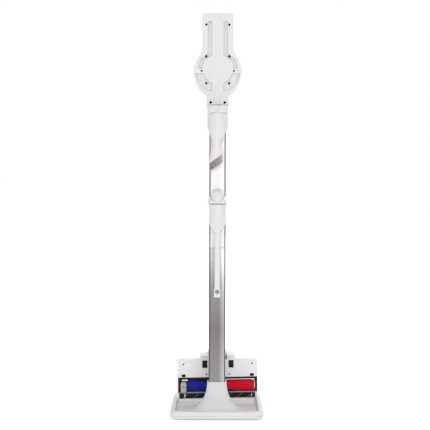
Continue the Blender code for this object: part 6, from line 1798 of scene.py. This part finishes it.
def make_rollers():
    left, right = -97 * MM, 114.5 * MM
    roll = helix_roll("brush_pile", BRUSH_RADIUS - 0.6 * MM, left, right, brush_tone)
    for name in ("fleece_blue", "fleece_red", "fleece_black"):
        roll.data.materials.append(MATERIALS[name])
    place_roll(roll, BRUSH_Y, BRUSH_Z)
    head_piece(roll, "brush", "brush_fleece", None, "brush_roll", edge=0)
    axle, end, pulley = 3 * MM, BRUSH_HIGH.x, 9 * MM
    edge = 3 * MM
    rows = [
        (axle, -end),
        (axle, PULLEY_X - edge),
        (pulley, PULLEY_X - edge),
        (pulley, PULLEY_X - edge + 0.6 * MM),
        (pulley - 1 * MM, PULLEY_X - edge + 1 * MM),
        (pulley - 1 * MM, PULLEY_X + edge - 1 * MM),
        (pulley, PULLEY_X + edge - 0.6 * MM),
        (pulley, PULLEY_X + edge),
        (axle, PULLEY_X + edge),
        (axle, left + 1 * MM),
    ]
    ends = [
        turned("drive_end", rows, "X", BRUSH_Y, BRUSH_Z, 60),
        turned("far_end", [(axle, right - 1 * MM), (axle, end)], "X", BRUSH_Y, BRUSH_Z, 40),
        turned(
            "end_disc", [(17.5 * MM, right - 0.6 * MM), (17.5 * MM, right + 2.2 * MM)], "X", BRUSH_Y, BRUSH_Z
        ),
    ]
    head_piece(join("brush_ends", ends), "brush", "brush_fleece", "white_head", edge=0.3 * MM)
    tufts = bristle_tufts(left, right)
    head_piece(tufts, "brush", "brush_fleece", "black_plastic", edge=0)

    left, right = -100.5 * MM, 105 * MM
    small = helix_roll("front_pile", FRONT_RADIUS - 0.3 * MM, left, right, thread_tone, 72, 420, 0.15 * MM, 5)
    for name in ("fleece_black", "fleece_thread", "fleece_black"):
        small.data.materials.append(MATERIALS[name])
    place_roll(small, FRONT_Y, FRONT_Z)
    head_piece(small, "small_roller", "black_fleece", None, "front_roller", edge=0)
    axle = 2 * MM
    low, high = FRONT_ROLLER_LOW.x, FRONT_ROLLER_HIGH.x
    spindles = [
        turned("spindle", [(axle, low), (axle, left + 1 * MM)], "X", FRONT_Y, FRONT_Z, 32),
        turned("spindle", [(axle, right - 1 * MM), (axle, high)], "X", FRONT_Y, FRONT_Z, 32),
    ]
    collar = FRONT_RADIUS - 0.3 * MM
    collars = [
        turned("collar", [(collar, left - 3.4 * MM), (collar, left - 0.3 * MM)], "X", FRONT_Y, FRONT_Z),
        turned("collar", [(collar, right + 0.3 * MM), (collar, right + 2.6 * MM)], "X", FRONT_Y, FRONT_Z),
    ]
    head_piece(join("front_collars", collars), "small_roller", "black_fleece", "white_head", edge=0.5 * MM)
    head_piece(join("front_spindles", spindles), "small_roller", "zinc_steel", "zinc_steel", edge=0)
    for side in ("left", "right"):
        name = f"front_roller_cap_{side}"
        from_node(name, f"front_cap_{side}", "head", "black_plastic", "black_plastic", 0.7 * MM)
    from_node("brush_end_cover", "end_cover", "head", "cream_plastic", "cream_plastic", 0.6 * MM)
    low, high = head_box("brush_end_cover")
    x, z = -106.5 * MM, BRUSH_Z - 3 * MM
    screw = screw_head("end_screw", 2.6 * MM, x, z, low.y - 0.3 * MM)
    head_piece(screw, "head", "black_plastic", "screw_red", edge=0)


def bristle_tufts(left, right):
    """Short stiff bristles along the black bands."""
    rng = random.Random(11)
    form = bmesh.new()
    count = 150
    for i in range(count):
        x = left + 4 * MM + (right - left - 8 * MM) * i / (count - 1)
        for turn in (0, 180):
            for lane in (-8, 0, 8):
                if x < 4 * MM:
                    centre = 62 - 1150 * (x + 52 * MM)
                else:
                    centre = -50 - 800 * (x - 34 * MM)
                a = math.radians(centre + turn + lane + rng.uniform(-2, 2))
                out = Vector((rng.uniform(-0.06, 0.06), -math.cos(a), math.sin(a))).normalized()
                root = Vector((x + rng.uniform(-0.6, 0.6) * MM, 0, 0)) + out * (BRUSH_RADIUS - 1.5 * MM)
                strand(form, root, root + out * 2.3 * MM, 0.32 * MM)
    mesh = bpy.data.meshes.new("bristle_tufts")
    form.to_mesh(mesh)
    form.free()
    mesh.transform(Matrix.Translation((0, BRUSH_Y, BRUSH_Z)))
    tufts = bpy.data.objects.new("bristle_tufts", mesh)
    bpy.context.scene.collection.objects.link(tufts)
    return tufts


def make_wheels():
    for side, name, body in ((-1, "left", "left_wheel"), (1, "right", "right_wheel")):
        centre, half = side * WHEEL_X, WHEEL_WIDTH / 2
        radius = WHEEL_RADIUS
        rows = [(radius - 1.2 * MM, centre - half), (radius - 0.3 * MM, centre - half + 0.3 * MM)]
        for i in range(3):
            x = centre - half + (1.4 + 4.1 * i) * MM
            rows += [(radius, x), (radius, x + 2.6 * MM)]
            rows += [(radius - 0.7 * MM, x + 3 * MM), (radius - 0.7 * MM, x + 3.7 * MM)]
        rows += [(radius - 0.3 * MM, centre + half - 0.3 * MM), (radius - 1.2 * MM, centre + half)]
        tyre = turned(f"tyre_{name}", rows, "X", WHEEL_Y, WHEEL_Z, 64)
        head_piece(tyre, body, "black_rubber", "black_rubber", f"wheel_{name}", edge=0)
        pin = [(2 * MM, centre - 10 * MM), (2 * MM, centre + 10 * MM)]
        axle = turned(f"axle_{name}", pin, "X", WHEEL_Y, WHEEL_Z, 32)
        head_piece(axle, body, "zinc_steel", "zinc_steel", edge=0.3 * MM)


# ------------------------------------------------------------------ what stays as it was packed


def finish_kept_nodes():
    """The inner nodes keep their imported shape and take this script's materials."""
    slots = {entry["node"]: entry["material_slot"] for entry in frame["record"]["subparts"]}
    for name, node in frame["nodes"].items():
        if node.hide_render:
            continue
        node.data.materials.clear()
        node.data.materials.append(MATERIALS[slots[name]])


def main():
    add_camera()
    add_studio()
    add_materials()
    make_base()
    make_column()
    make_dock()
    make_tool_socket()
    make_brush_tool()
    make_crevice_holder()
    make_crevice_tool()
    make_wand()
    make_duct()
    make_bin()
    make_motor_unit()
    make_handle()
    make_battery()
    make_neck()
    make_head_shell()
    make_sole()
    make_rollers()
    make_wheels()
    finish_kept_nodes()


main()
